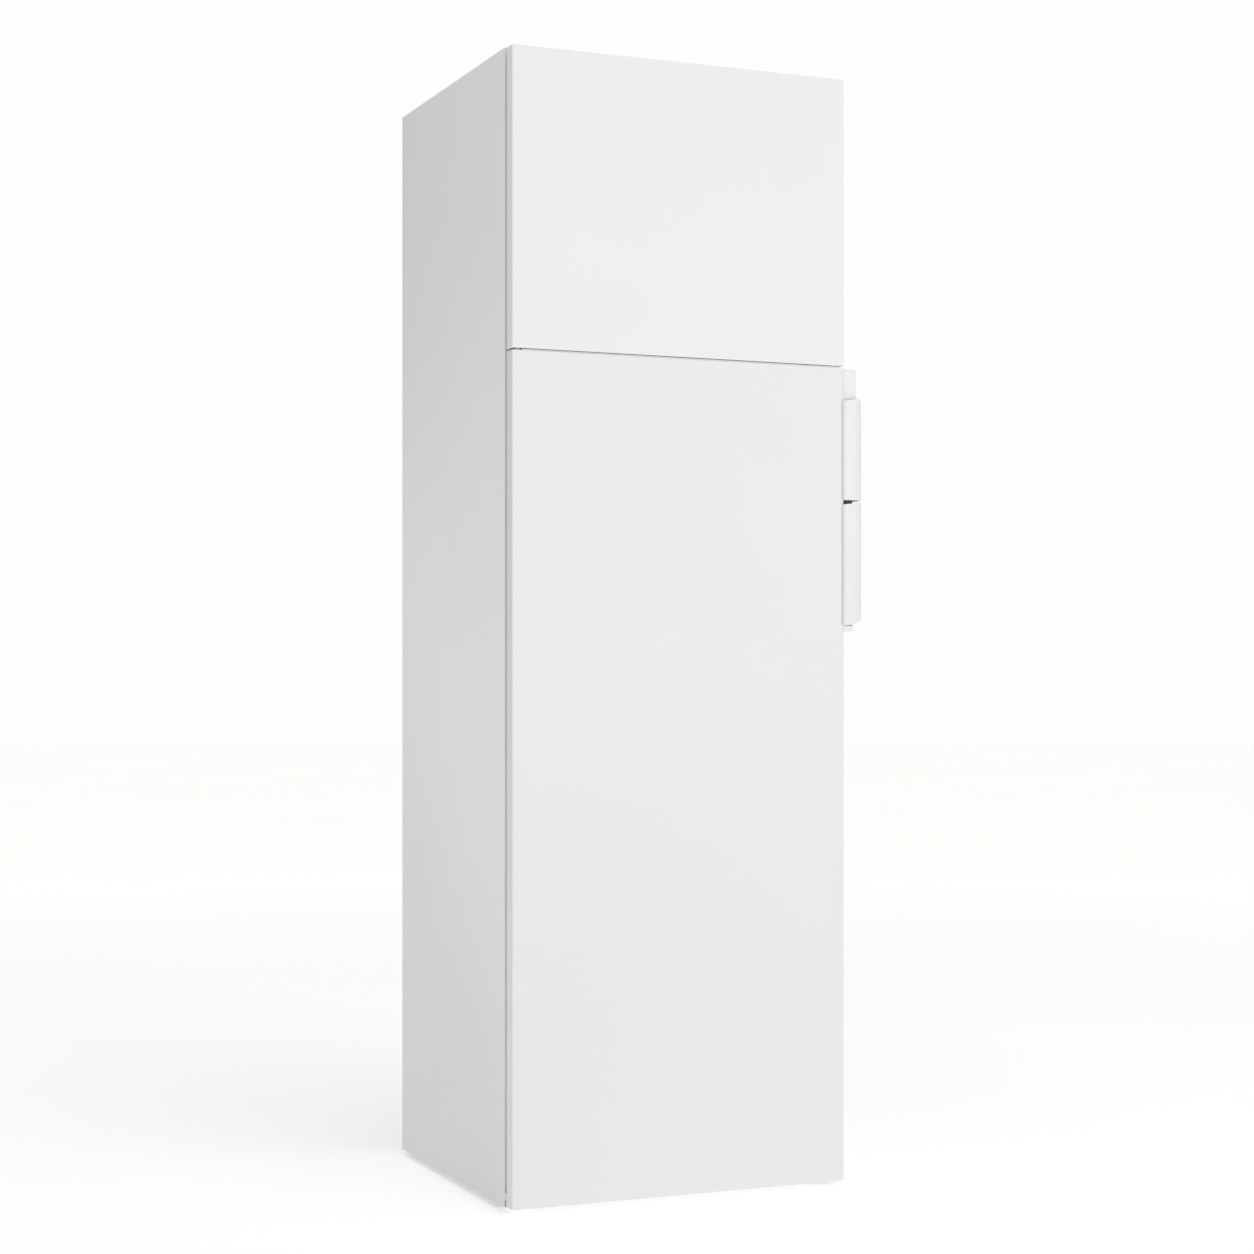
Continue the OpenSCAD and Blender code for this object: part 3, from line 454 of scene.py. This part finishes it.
def door_skin(door, pocket_node=None):
    """Painted sheet folded round the front, both edges and the two ends, with a softened fold."""
    node = door + "_door_skin"
    lo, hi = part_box(node)
    bm = bmesh.new()
    add_box(bm, lo, hi)
    for x in (lo.x + SIDE_LIP, lo.x + BACK_FLANGE, hi.x - BACK_FLANGE, hi.x - SIDE_LIP):
        cut(bm, 0, x)
    cut(bm, 1, lo.y + FRONT_LIP)
    edges = [e for e in bm.edges if outer_edge(e, lo, hi)]
    bmesh.ops.bevel(bm, geom=edges, offset=SKIN_RADIUS, segments=4, profile=0.5, affect="EDGES")

    def opening(c):
        at_end = min(abs(c.z - lo.z), abs(c.z - hi.z)) < NEAR
        behind_lips = lo.x + SIDE_LIP < c.x < hi.x - SIDE_LIP and c.y > lo.y + FRONT_LIP
        behind_flange = c.y > hi.y - SKIN_RADIUS and lo.x + BACK_FLANGE < c.x < hi.x - BACK_FLANGE
        return (at_end and behind_lips) or behind_flange

    drop_faces(bm, opening)
    if pocket_node:
        a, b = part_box(pocket_node)
        for axis in (1, 2):
            cut(bm, axis, a[axis])
            cut(bm, axis, b[axis])
        drop_faces(bm, lambda c: c.x > hi.x - NEAR and a.y < c.y < b.y and a.z < c.z < b.z)
    add_piece(door + "_door_outer_skin", bm, node, solid=SHEET)


def outer_edge(edge, lo, hi):
    """True for an edge that lies along one of the box's own twelve edges."""
    shared = 0
    for axis in range(3):
        for side in (lo[axis], hi[axis]):
            if all(abs(v.co[axis] - side) < NEAR for v in edge.verts):
                shared += 1
    return shared >= 2


def door_panel(door):
    """Formed inner panel: flat border, raised field, two upright ribs and a ledge under each tray."""
    node = door + "_door_liner"
    lo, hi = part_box(node)
    centre = (lo.x + hi.x) / 2
    plug_half = (hi.x - lo.x) / 2 - PLUG_MARGIN
    plug_z = PLUG_Z[door]
    border_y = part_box(door + "_door_skin")[1].y
    field_y = border_y + PLUG_RISE
    rib_w, rib_root, rib_inset = 19 * MM, 10 * MM, 0.5 * MM
    edge_r = 3 * MM

    def ring(inset, y, r):
        x = (centre - plug_half + inset, centre + plug_half - inset)
        z = (plug_z[0] + inset, plug_z[1] - inset)
        return [(px, y, pz) for px, pz in outline(x, z, [r] * 4)]

    bm = bmesh.new()
    edge = [(px, border_y, pz) for px, pz in outline((lo.x, hi.x), (lo.z, hi.z), [0.5 * MM] * 4)]
    loops = [edge]
    for inset, back, corner in PLUG_FOOT_MM:
        loops.append(ring(inset * MM, border_y + back * MM, corner * MM))
    loops.append(ring(PLUG_TAPER, field_y - edge_r, 1.6 * MM))
    for a in quarter_turn()[1:]:
        inset = PLUG_TAPER + edge_r * (1 - math.cos(a))
        loops.append(ring(inset, field_y - edge_r * (1 - math.sin(a)), 1.4 * MM))
    loft(bm, loops, closed_end=True)
    back = [(x, border_y - 1.4 * MM, z) for x, _, z in edge]
    loft(bm, [edge, back], closed_end=True)
    for side in (-1, 1):
        inner = centre + side * (plug_half - rib_w)
        x = sorted((centre + side * (plug_half - 0.3 * MM), inner))
        rib_lo = (x[0], field_y - rib_root, plug_z[0] + rib_inset)
        rib_hi = (x[1], hi.y, plug_z[1] - rib_inset)
        rounded_box(bm, rib_lo, rib_hi, 4 * MM, 4)
        for bin_lo, _ in DOOR_BINS[door]:
            x = sorted((inner + side * 1 * MM, inner - side * 1.6 * MM))
            ledge_lo = (x[0], field_y - 2 * MM, bin_lo.z - 7 * MM)
            ledge_hi = (x[1], hi.y - 14 * MM, bin_lo.z - 0.4 * MM)
            rounded_box(bm, ledge_lo, ledge_hi, 0.7 * MM, 2)
    add_piece(door + "_door_inner_panel", bm, node, smooth_degrees=40)


# Across the seal from its outer edge, and back from the door's panel
GASKET_PROFILE_MM = [
    (0.0, 0.0), (0.0, 1.4), (2.2, 2.6), (0.6, 3.8), (2.4, 5.0), (1.0, 5.8), (1.0, 7.9), (1.8, 8.7),
    (14.2, 8.7), (15.0, 7.9), (15.0, 5.8), (13.6, 5.0), (15.4, 3.8), (13.8, 2.6), (16.0, 1.4), (16.0, 0.0),
]


def door_gasket(door):
    """Bellows seal with mitred corners: one profile taken round the door."""
    node = door + "_door_gasket"
    lo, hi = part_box(node)
    stretch = (hi.y - lo.y) / max(back for across, back in GASKET_PROFILE_MM)
    bm = bmesh.new()
    rings = []
    for sx, sz in ((-1, -1), (1, -1), (1, 1), (-1, 1)):
        corner_x = hi.x if sx > 0 else lo.x
        corner_z = hi.z if sz > 0 else lo.z
        rings.append([
            bm.verts.new((corner_x - sx * across * MM, lo.y + back * stretch, corner_z - sz * across * MM))
            for across, back in GASKET_PROFILE_MM
        ])
    count = len(GASKET_PROFILE_MM)
    for k in range(4):
        a, b = rings[k], rings[(k + 1) % 4]
        for i in range(count):
            j = (i + 1) % count
            bm.faces.new((a[i], a[j], b[j], b[i]))
    add_piece(door + "_door_seal", bm, node, smooth_degrees=50)


# ---- Trays ----

def tray(bm, lo, hi, wall, draft, front_radius, beads=()):
    """Moulded open tray: drafted walls, a filleted floor, a rolled rim and raised lines round it."""
    back_radius, floor_radius = 3 * MM, 5 * MM
    rim_z, rim_soft = hi.z - 5 * MM, 0.8 * MM
    under_rim = 0.6 * MM            # how far the walls stand in from the rim
    bead_mm = ((-1.6, 0.6), (-0.8, 0.15), (0.8, 0.15), (1.6, 0.6))       # height and inset of a bead's lines

    def ring(inset, z):
        f = max(front_radius - inset, 1 * MM)
        b = max(back_radius - inset, 0.6 * MM)
        return [(x, y, z) for x, y in outline((lo.x + inset, hi.x - inset), (lo.y + inset, hi.y - inset),
                                              (b, b, f, f), 6)]

    def slope(z):
        return draft * (hi.z - z) / (hi.z - lo.z)

    def bottom_turn(angles, wall_in):
        turn = []
        for a in angles:
            z = lo.z + wall_in + floor_radius * (1 - math.cos(a))
            turn.append(ring(slope(z) + wall_in + floor_radius * (1 - math.sin(a)) + under_rim, z))
        return turn

    outside = bottom_turn(quarter_turn(), 0)
    for bead in beads:
        z = lo.z + bead * (hi.z - lo.z)
        outside += [ring(slope(z) + inset * MM, z + up * MM) for up, inset in bead_mm]
    below = rim_z - 1 * MM
    rim = [ring(slope(below) + under_rim, below), ring(0, rim_z), ring(0, hi.z - rim_soft),
           ring(rim_soft, hi.z), ring(wall, hi.z), ring(wall + rim_soft, hi.z - rim_soft)]
    inside = bottom_turn(reversed(quarter_turn()), wall)
    loft(bm, outside + rim + inside, closed_start=True, closed_end=True)


def door_trays(name, node, front_radius=22 * MM, beads=(0.35, 0.5)):
    """A tray in the place of each solid of a CAD node. Beads are heights, as shares of the tray's own."""
    bm = bmesh.new()
    for lo, hi in islands(node):
        tray(bm, lo, hi, 2.2 * MM, 2.5 * MM, front_radius, beads)
    add_piece(name, bm, node, smooth_degrees=40)


# ---- Handle ----

GRIP_WALL = 3.8 * MM
GRIP_EDGE = 4.5 * MM        # radius between a grip's flange and its front
GRIP_ROUND = 21 * MM        # radius between its front and its outer side


def plan_path(x0, x1, y_front, y_flange, y_lip, edge_radius, round_radius, steps=9):
    """Outer line of a grip seen from above: flange, front, quarter round, lip. Points are (x, y)."""
    path = [(x0, y_flange)]
    for a in quarter_turn():
        path.append((x0 + edge_radius * (1 - math.cos(a)), y_front + edge_radius * (1 - math.sin(a))))
    flat = x1 - round_radius - path[-1][0]
    path += [(path[-1][0] + flat * i / 4, y_front) for i in range(1, 4)]
    for a in quarter_turn(steps):
        path.append((x1 - round_radius * (1 - math.sin(a)), y_front + round_radius * (1 - math.cos(a))))
    path.append((x1, (y_lip + path[-1][1]) / 2))
    path.append((x1, y_lip))
    return path


def grip(name, node, top, bottom):
    """Shell of the grip: its plan line between two end curves, given a wall and softened edges."""
    lo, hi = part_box(node)
    door_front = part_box("fridge_door_skin")[0].y
    path = plan_path(lo.x, hi.x, lo.y, door_front - 0.2 * MM, hi.y, GRIP_EDGE, GRIP_ROUND)
    rows = 12
    bm = bmesh.new()
    columns = []
    for x, y in path:
        z0, z1 = bottom(x, lo, hi), top(x, lo, hi)
        columns.append([bm.verts.new((x, y, z0 + (z1 - z0) * k / rows)) for k in range(rows + 1)])
    for a, b in zip(columns, columns[1:]):
        for k in range(rows):
            bm.faces.new((a[k], b[k], b[k + 1], a[k + 1]))
    add_piece(name, bm, node, smooth_degrees=50, solid=GRIP_WALL, bevel=1.7 * MM)


def corner_drop(x, hi, radius):
    """How far a rounded end corner has fallen at x, for a corner that ends at the box's high side."""
    run = max(0.0, x - (hi.x - radius))
    return radius - math.sqrt(max(radius ** 2 - run ** 2, 0.0))


def upper_grip_top(x, lo, hi):
    """Rises to the edge of the block behind it, then falls in a quarter ellipse."""
    block_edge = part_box("handle_end_blocks")[1].x
    start, crest, fall = hi.z - 4.2 * MM, hi.z + 0.6 * MM, 20 * MM
    if x < block_edge:
        return start + (crest - start) * ((x - lo.x) / (block_edge - lo.x)) ** 1.5
    run = (x - block_edge) / (hi.x - block_edge)
    return crest - fall * (1 - math.sqrt(max(1 - run ** 2, 0.0)))


def upper_grip_bottom(x, lo, hi):
    """Straight across. It takes what the other three end curves take."""
    return lo.z


def lower_grip_top(x, lo, hi):
    """Slants up to the rounded outer corner."""
    rise, corner = 4.5 * MM, 2 * MM
    return hi.z - rise * (1 - (x - lo.x) / (hi.x - lo.x)) - corner_drop(x, hi, corner)


def lower_grip_bottom(x, lo, hi):
    """Nearly level at first, then a sweep up to the rounded outer corner."""
    level, level_rise, sweep, corner = 16 * MM, 1.5 * MM, 10.5 * MM, 6 * MM
    run = max(0.0, x - lo.x - level) / (hi.x - lo.x - level)
    rise = level_rise * min(1.0, (x - lo.x) / level) + sweep * run ** 1.6
    return lo.z + rise + corner_drop(x, hi, corner)


def end_block(bm, lo, hi, radii):
    """Moulded end piece: an outline seen from the front, with softened front and rear edges."""
    soft = 1.1 * MM

    def ring(inset, y):
        x, z = (lo.x + inset, hi.x - inset), (lo.z + inset, hi.z - inset)
        return [(px, y, pz) for px, pz in outline(x, z, [max(r - inset, 0.2 * MM) for r in radii])]

    loops = []
    for y, way in ((lo.y, 1), (hi.y, -1)):
        part = [ring(soft * (1 - math.sin(a)), y + way * soft * (1 - math.cos(a))) for a in quarter_turn(3)]
        loops += part if way > 0 else part[::-1]
    loft(bm, loops, closed_start=True, closed_end=True)


def handle_ends():
    """The upper piece reaches down behind the grip, to the end of the bar."""
    low, high = islands("handle_end_blocks")
    bar_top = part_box("handle_rail")[1].z + 0.1 * MM
    bm = bmesh.new()
    end_block(bm, low[0], low[1], (1 * MM, 2 * MM, 0.5 * MM, 0.5 * MM))
    end_block(bm, Vector((high[0].x, high[0].y, bar_top)), high[1], (0.5 * MM, 0.5 * MM, 4 * MM, 1.5 * MM))
    add_piece("handle_end_pieces", bm, "handle_end_blocks", smooth_degrees=50)


def handle():
    """End pieces and both grips; the bar, and the screws in it, are the CAD's own."""
    handle_ends()
    grip("handle_upper_grip", "upper_grip", upper_grip_top, upper_grip_bottom)
    grip("handle_lower_grip", "lower_grip", lower_grip_top, lower_grip_bottom)


# ---- Cabinet sheets and liners ----

FOLD = 1.6 * MM
REAR_FLANGE = 12 * MM
LINER_WALL = 2 * MM
LINER_CORNER = 14 * MM
BACK_FIELD_MM = ((36, 0), (37, 0.7), (39, 2.3), (40, 3))     # a liner's raised back: inset, rise
LEAF_ROOM = 1.7 * MM        # the top hinge's leaf lies this deep in the cabinet's top


def folded(points):
    """A path with each inner corner rounded to the fold's radius. Points are (u, v)."""
    path = [points[0]]
    for before, at, after in zip(points, points[1:], points[2:]):
        corner = Vector(at)
        start = corner + (Vector(before) - corner).normalized() * FOLD
        end = corner + (Vector(after) - corner).normalized() * FOLD
        middle = start + end - corner
        for a in quarter_turn():
            path.append(tuple(middle + (start - middle) * math.cos(a) + (end - middle) * math.sin(a)))
    return path + [points[-1]]


def extrude_path(bm, points, place):
    """Sweeps an open path; place turns (u, v, along) into a point, with along 0 or 1."""
    rails = [[bm.verts.new(place(u, v, along)) for u, v in points] for along in (0, 1)]
    for i in range(len(points) - 1):
        bm.faces.new((rails[0][i], rails[0][i + 1], rails[1][i + 1], rails[1][i]))


def side_sheet(side):
    """Painted side sheet with its folded front and rear flanges."""
    node = "side_panel_" + side
    lo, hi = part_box(node)
    outer, inner = (lo.x, hi.x) if side == "left" else (hi.x, lo.x)
    rear_end = outer + math.copysign(REAR_FLANGE, inner - outer)
    path = folded([(inner, lo.y), (outer, lo.y), (outer, hi.y), (rear_end, hi.y)])
    bm = bmesh.new()
    extrude_path(bm, path, lambda x, y, along: (x, y, (lo.z, hi.z)[along]))
    under_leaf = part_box("top_hinge")[1].z - LEAF_ROOM
    cut(bm, 2, under_leaf)
    kept_edge = 2 * MM
    drop_faces(bm, lambda c: c.z > under_leaf and abs(c.x - outer) > kept_edge)
    add_piece("cabinet_side_" + side, bm, node, solid=SHEET)


def top_sheet():
    """Painted top sheet with its folded flanges, cut out round the top hinge."""
    lo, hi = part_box("top_panel")
    flange_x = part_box("side_panel_right")[0].x
    path = folded([(lo.y, lo.z), (lo.y, hi.z), (hi.y, hi.z), (hi.y, hi.z - REAR_FLANGE)])
    bm = bmesh.new()
    extrude_path(bm, path, lambda y, z, along: ((lo.x, hi.x)[along], y, z))
    centre = (lo.x + hi.x) / 2
    flange_half = flange_x - centre
    for x in (centre - flange_half, centre + flange_half):
        cut(bm, 0, x)
    drop_faces(bm, lambda c: abs(c.x - centre) > flange_half and c.z < hi.z - FOLD)
    a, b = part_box("top_hinge")
    gap = 0.1 * MM
    for x in (a.x - gap, b.x + gap):
        cut(bm, 0, x)
    cut(bm, 1, b.y + gap)
    cut(bm, 2, hi.z - LEAF_ROOM)
    drop_faces(bm, lambda c: a.x - gap < c.x < b.x + gap and c.y < b.y + gap and c.z > hi.z - LEAF_ROOM)
    add_piece("cabinet_top", bm, "top_panel", solid=SHEET)


def tub_box(node):
    """The compartment that a liner encloses, from the CAD vertices behind its front flange."""
    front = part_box(node)[0].y + 10 * MM
    points = [v.co for v in frame["nodes"][node].data.vertices if v.co.y > front]
    low = Vector([min(p[i] for p in points) + LINER_WALL for i in range(3)])
    high = Vector([max(p[i] for p in points) - LINER_WALL for i in range(3)])
    return low, high


def liner(name, node, step=None, ledges=()):
    """Vacuum-formed tub: soft front lip, rounded corners, a raised field at the back, ledges and a step."""
    flange_lo, flange_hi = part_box(node)
    low, high = tub_box(node)
    lip = 4 * MM
    front = flange_lo.y

    def ring(grow, y, floor=low.z, r=LINER_CORNER):
        x = (low.x - grow, high.x + grow)
        z = (floor - grow, high.z + grow)
        return [(px, y, pz) for px, pz in outline(x, z, [max(r + grow, 0.5 * MM)] * 4, 6)]

    def fillet(a):
        """A round at angle a: how far before the corner, and how far along the next wall."""
        return LINER_CORNER * (1 - math.sin(a)), LINER_CORNER * (1 - math.cos(a))

    edge = outline((flange_lo.x, flange_hi.x), (flange_lo.z, flange_hi.z), [0.5 * MM] * 4, 6)
    loops = [[(px, front, pz) for px, pz in edge]]
    for a in quarter_turn():
        loops.append(ring(lip * (1 - math.sin(a)), front + lip * (1 - math.cos(a))))
    floor = low.z
    if step:
        step_y, floor = step
        for a in quarter_turn():
            before, up = fillet(a)
            loops.append(ring(0, step_y - before, low.z + up))
        for a in quarter_turn():
            below, back = fillet(a)
            loops.append(ring(0, step_y + back, floor - below))
    for a in quarter_turn():
        before, inset = fillet(a)
        loops.append(ring(-inset, high.y - before, floor))
    for inset, rise in BACK_FIELD_MM:
        loops.append(ring(-inset * MM, high.y - rise * MM, floor, 46 * MM))
    bm = bmesh.new()
    loft(bm, loops, closed_end=True)
    ledge_w, ledge_h, behind = 9 * MM, 6 * MM, 20 * MM
    root = 1 * MM
    for z, y0 in ledges:
        for x in ((low.x - root, low.x + ledge_w), (high.x - ledge_w, high.x + root)):
            rounded_box(bm, (x[0], y0, z - ledge_h), (x[1], high.y - behind, z), 1.6 * MM, 3)
    add_piece(name, bm, node, smooth_degrees=40)


def liners():
    """Both tubs. The refrigerator's has ledges for each glass and the drawer, and spare ones between."""
    shelves = ("crisper_glass", "shelf_glass_lower", "shelf_glass_middle", "shelf_glass_upper")
    glass = [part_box(node)[0] for node in shelves]
    pitch = glass[1].z - glass[0].z
    front = glass[0].y + 15 * MM
    ledges = [(lo.z, front) for lo in glass] + [(glass[0].z - 28 * MM, front)]
    ledges += [(lo.z - pitch / 2, front - 60 * MM) for lo in glass[1:]]
    points = [v.co for v in frame["nodes"]["fridge_liner"].data.vertices]
    low, high = tub_box("fridge_liner")
    near = 0.5 * MM
    step_y = max(p.y for p in points if abs(p.z - (low.z - LINER_WALL)) < near) + LINER_CORNER
    step_z = min(p.z for p in points if abs(p.y - (high.y + LINER_WALL)) < near) - LINER_CORNER
    liner("fridge_tub", "fridge_liner", (step_y, step_z), ledges)
    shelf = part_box("freezer_shelf")[0].z
    liner("freezer_tub", "freezer_liner", ledges=[(shelf, front - 40 * MM)])


# ---- Interior ----

# From the skirt's top down: inset from its radius, height below it, depth of the flutes
DIAL_PROFILE_MM = [
    (0, 0, 1), (0, 4, 1), (1.2, 5, 0.6), (5.2, 5.4, 0), (6, 6.2, 0), (6.6, 11.4, 0), (8, 12.8, 0),
]


def knob():
    """Fluted dial with a finger bar, and the scale round it."""
    lo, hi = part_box("temperature_knob")
    cx, cy = (lo.x + hi.x) / 2, (lo.y + hi.y) / 2
    radius = (hi.x - lo.x) / 2
    skirt_top = hi.z - 11 * MM
    flutes, points = 24, 144

    def ring(r, z, depth):
        out = []
        for i in range(points):
            a = 2 * math.pi * i / points
            fluted = r - depth * (0.5 - 0.5 * math.cos(flutes * a))
            out.append((cx + fluted * math.cos(a), cy + fluted * math.sin(a), z))
        return out

    bm = bmesh.new()
    rings = []
    for inset, down, depth in DIAL_PROFILE_MM:
        rings.append(ring(radius - inset * MM, skirt_top - down * MM, depth * MM))
    loft(bm, rings, closed_start=True, closed_end=True)
    bar = Vector((3, 16, 9)) * MM
    rounded_box(bm, (cx - bar.x, cy - bar.y, lo.z), (cx + bar.x, cy + bar.y, lo.z + bar.z), 1.2 * MM)
    add_piece("thermostat_dial", bm, "temperature_knob", smooth_degrees=40)
    dial_scale(cx, cy)


def dial_scale(cx, cy):
    """Raised ticks round the dial, longer towards the cold end."""
    bm = bmesh.new()
    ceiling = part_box("control_housing")[0].z
    radius, width = 25.5 * MM, 1 * MM
    for i in range(9):
        a = math.radians(-120 + 30 * i)
        x, y = cx + radius * math.sin(a), cy - radius * math.cos(a)
        length = (1.5 + 0.3 * i) * MM
        rounded_box(bm, (x - width / 2, y - length / 2, ceiling - 0.5 * MM),
                    (x + width / 2, y + length / 2, ceiling + 0.3 * MM), 0.15 * MM, 1)
    add_piece("thermostat_scale", bm, "control_housing", replaces=False, slot="black_plastic")


# ---- CAD nodes that keep their shape ----

# Width of the bevel on the nodes that nothing replaces
SOFT_EDGES_MM = {
    "base_front_rail": 0.4, "base_frame": 0.5, "compressor": 1.0, "terminal_box": 1.2,
    "evaporation_tray": 0.6, "control_housing": 1.5, "lamp_cover": 0.6, "door_switch_plunger": 0.6,
    "shelf_glass_upper": 0.6, "shelf_glass_middle": 0.6, "shelf_glass_lower": 0.6, "crisper_glass": 0.6,
    "shelf_trims": 0.3, "crisper_drawer": 0.8, "dairy_box": 0.5, "dairy_lid": 0.5,
    "top_hinge": 0.5, "middle_hinge": 0.5, "bottom_hinge": 0.5, "hinge_bolts": 0.3,
    "foot_left": 0.8, "foot_right": 0.8, "roller_left": 1.0, "roller_right": 1.0,
    "freezer_door_caps": 0.4, "fridge_door_caps": 0.4, "freezer_grip": 0.5, "handle_rail": 0.8,
    "handle_screws": 0.3,
}


def smooth_by_angle():
    """Geometry nodes that shade smooth, but keep the edges sharper than 28 degrees."""
    group = bpy.data.node_groups.new("smooth_by_angle", "GeometryNodeTree")
    for way in ("INPUT", "OUTPUT"):
        group.interface.new_socket("Geometry", in_out=way, socket_type="NodeSocketGeometry")
    nodes, link = group.nodes, group.links.new
    source, target = nodes.new("NodeGroupInput"), nodes.new("NodeGroupOutput")
    merge = nodes.new("GeometryNodeMergeByDistance")
    merge.inputs["Distance"].default_value = 0.001 * MM
    angle = nodes.new("GeometryNodeInputMeshEdgeAngle")
    sharp = nodes.new("FunctionNodeCompare")
    sharp.operation = "GREATER_THAN"
    sharp.inputs["B"].default_value = math.radians(28)
    faces = nodes.new("GeometryNodeSetShadeSmooth")
    edges = nodes.new("GeometryNodeSetShadeSmooth")
    edges.domain = "EDGE"
    edges.inputs["Shade Smooth"].default_value = False
    link(source.outputs[0], merge.inputs["Geometry"])
    link(merge.outputs[0], faces.inputs["Geometry"])
    link(faces.outputs[0], edges.inputs["Geometry"])
    link(angle.outputs["Unsigned Angle"], sharp.inputs["A"])
    link(sharp.outputs[0], edges.inputs["Selection"])
    link(edges.outputs[0], target.inputs[0])
    return group


def dress_nodes():
    """Gives every CAD node its material, smooth shading and, where it shows, softened edges."""
    smoothing = smooth_by_angle()
    for node, obj in frame["nodes"].items():
        obj.data.materials.clear()
        obj.data.materials.append(MATERIALS[SLOT_OF[node]])
        modifier = obj.modifiers.new("smoothing", "NODES")
        modifier.node_group = smoothing
        if node in SOFT_EDGES_MM:
            add_bevel(obj, SOFT_EDGES_MM[node] * MM, segments=2)


# ---- Stage ----

FLOOR_RADIUS = 30.0
FLOOR_GLOW_NEAR = 0.46       # the lights reach the floor near the object, so it glows less there
FLOOR_GLOW_FAR = 0.635
FLOOR_GLOW_SPAN = (1.0, 6.0)         # distances from the object at which the two hold


def add_floor():
    """A pale disc that glows a little, so that it meets the backdrop without an edge."""
    bm = bmesh.new()
    bmesh.ops.create_circle(bm, cap_ends=True, radius=FLOOR_RADIUS, segments=64)
    mesh = bpy.data.meshes.new("floor")
    bm.to_mesh(mesh)
    bm.free()
    floor = bpy.data.objects.new("floor", mesh)
    bpy.context.scene.collection.objects.link(floor)
    s = Shader("floor", Roughness=0.9, Specular_IOR_Level=0.1)
    s.colour(s.noise(0.7, 2), (0.80, 0.80, 0.80), (0.82, 0.82, 0.82))
    s.surface.inputs["Emission Color"].default_value = (1, 1, 0.985, 1)
    distance = s.add("ShaderNodeVectorMath", operation="LENGTH")
    s.link(s.coords, distance.inputs[0])
    glow = s.ramp(distance.outputs["Value"], FLOOR_GLOW_NEAR, FLOOR_GLOW_FAR, FLOOR_GLOW_SPAN)
    s.link(glow, s.surface.inputs["Emission Strength"])
    mesh.materials.append(s.material)


def add_world():
    """Even soft surroundings; the camera sees a white backdrop."""
    world = bpy.data.worlds.new("world")
    bpy.context.scene.world = world
    world.use_nodes = True
    tree = world.node_tree
    surroundings = tree.nodes["Background"]
    surroundings.inputs["Color"].default_value = (1, 1, 0.975, 1)
    surroundings.inputs["Strength"].default_value = 0.42
    backdrop = tree.nodes.new("ShaderNodeBackground")
    backdrop.inputs["Color"].default_value = (1, 1, 1, 1)
    backdrop.inputs["Strength"].default_value = 0.985
    rays = tree.nodes.new("ShaderNodeLightPath")
    mix = tree.nodes.new("ShaderNodeMixShader")
    tree.links.new(rays.outputs["Is Camera Ray"], mix.inputs[0])
    tree.links.new(surroundings.outputs[0], mix.inputs[1])
    tree.links.new(backdrop.outputs[0], mix.inputs[2])
    tree.links.new(mix.outputs[0], tree.nodes["World Output"].inputs["Surface"])


def add_light(name, place, aim, size, watts, colour=(1, 1, 1)):
    data = bpy.data.lights.new(name, "AREA")
    data.color = colour
    data.shape = "RECTANGLE"
    data.size, data.size_y = size
    data.energy = watts
    light = bpy.data.objects.new(name, data)
    light.location = place
    light.rotation_euler = (Vector(aim) - Vector(place)).to_track_quat("-Z", "Y").to_euler()
    bpy.context.scene.collection.objects.link(light)


def add_lights():
    """A large key light in front of the doors, a little to their right, and a softer one overhead."""
    middle = (0, 0, CAD_BOUNDS[1][2] / 2)
    add_light("key", (1.6, -5.2, 1.7), middle, (3.0, 3.0), 63, (0.955, 0.96, 1.0))
    add_light("overhead", (0, -0.5, 4.2), middle, (3.5, 3.5), 46)


add_camera()
add_world()
add_lights()
add_floor()
door_skin("freezer", "freezer_grip")
door_skin("fridge")
for which in ("freezer", "fridge"):
    door_panel(which)
    door_gasket(which)
door_trays("freezer_trays", "freezer_door_bins")
door_trays("door_trays", "door_bins")
door_trays("bottle_tray", "bottle_bin", beads=(0.3, 0.42, 0.54))
handle()
knob()
for which in ("left", "right"):
    side_sheet(which)
top_sheet()
liners()
dress_nodes()

scene = bpy.context.scene
scene.view_settings.view_transform = "Standard"
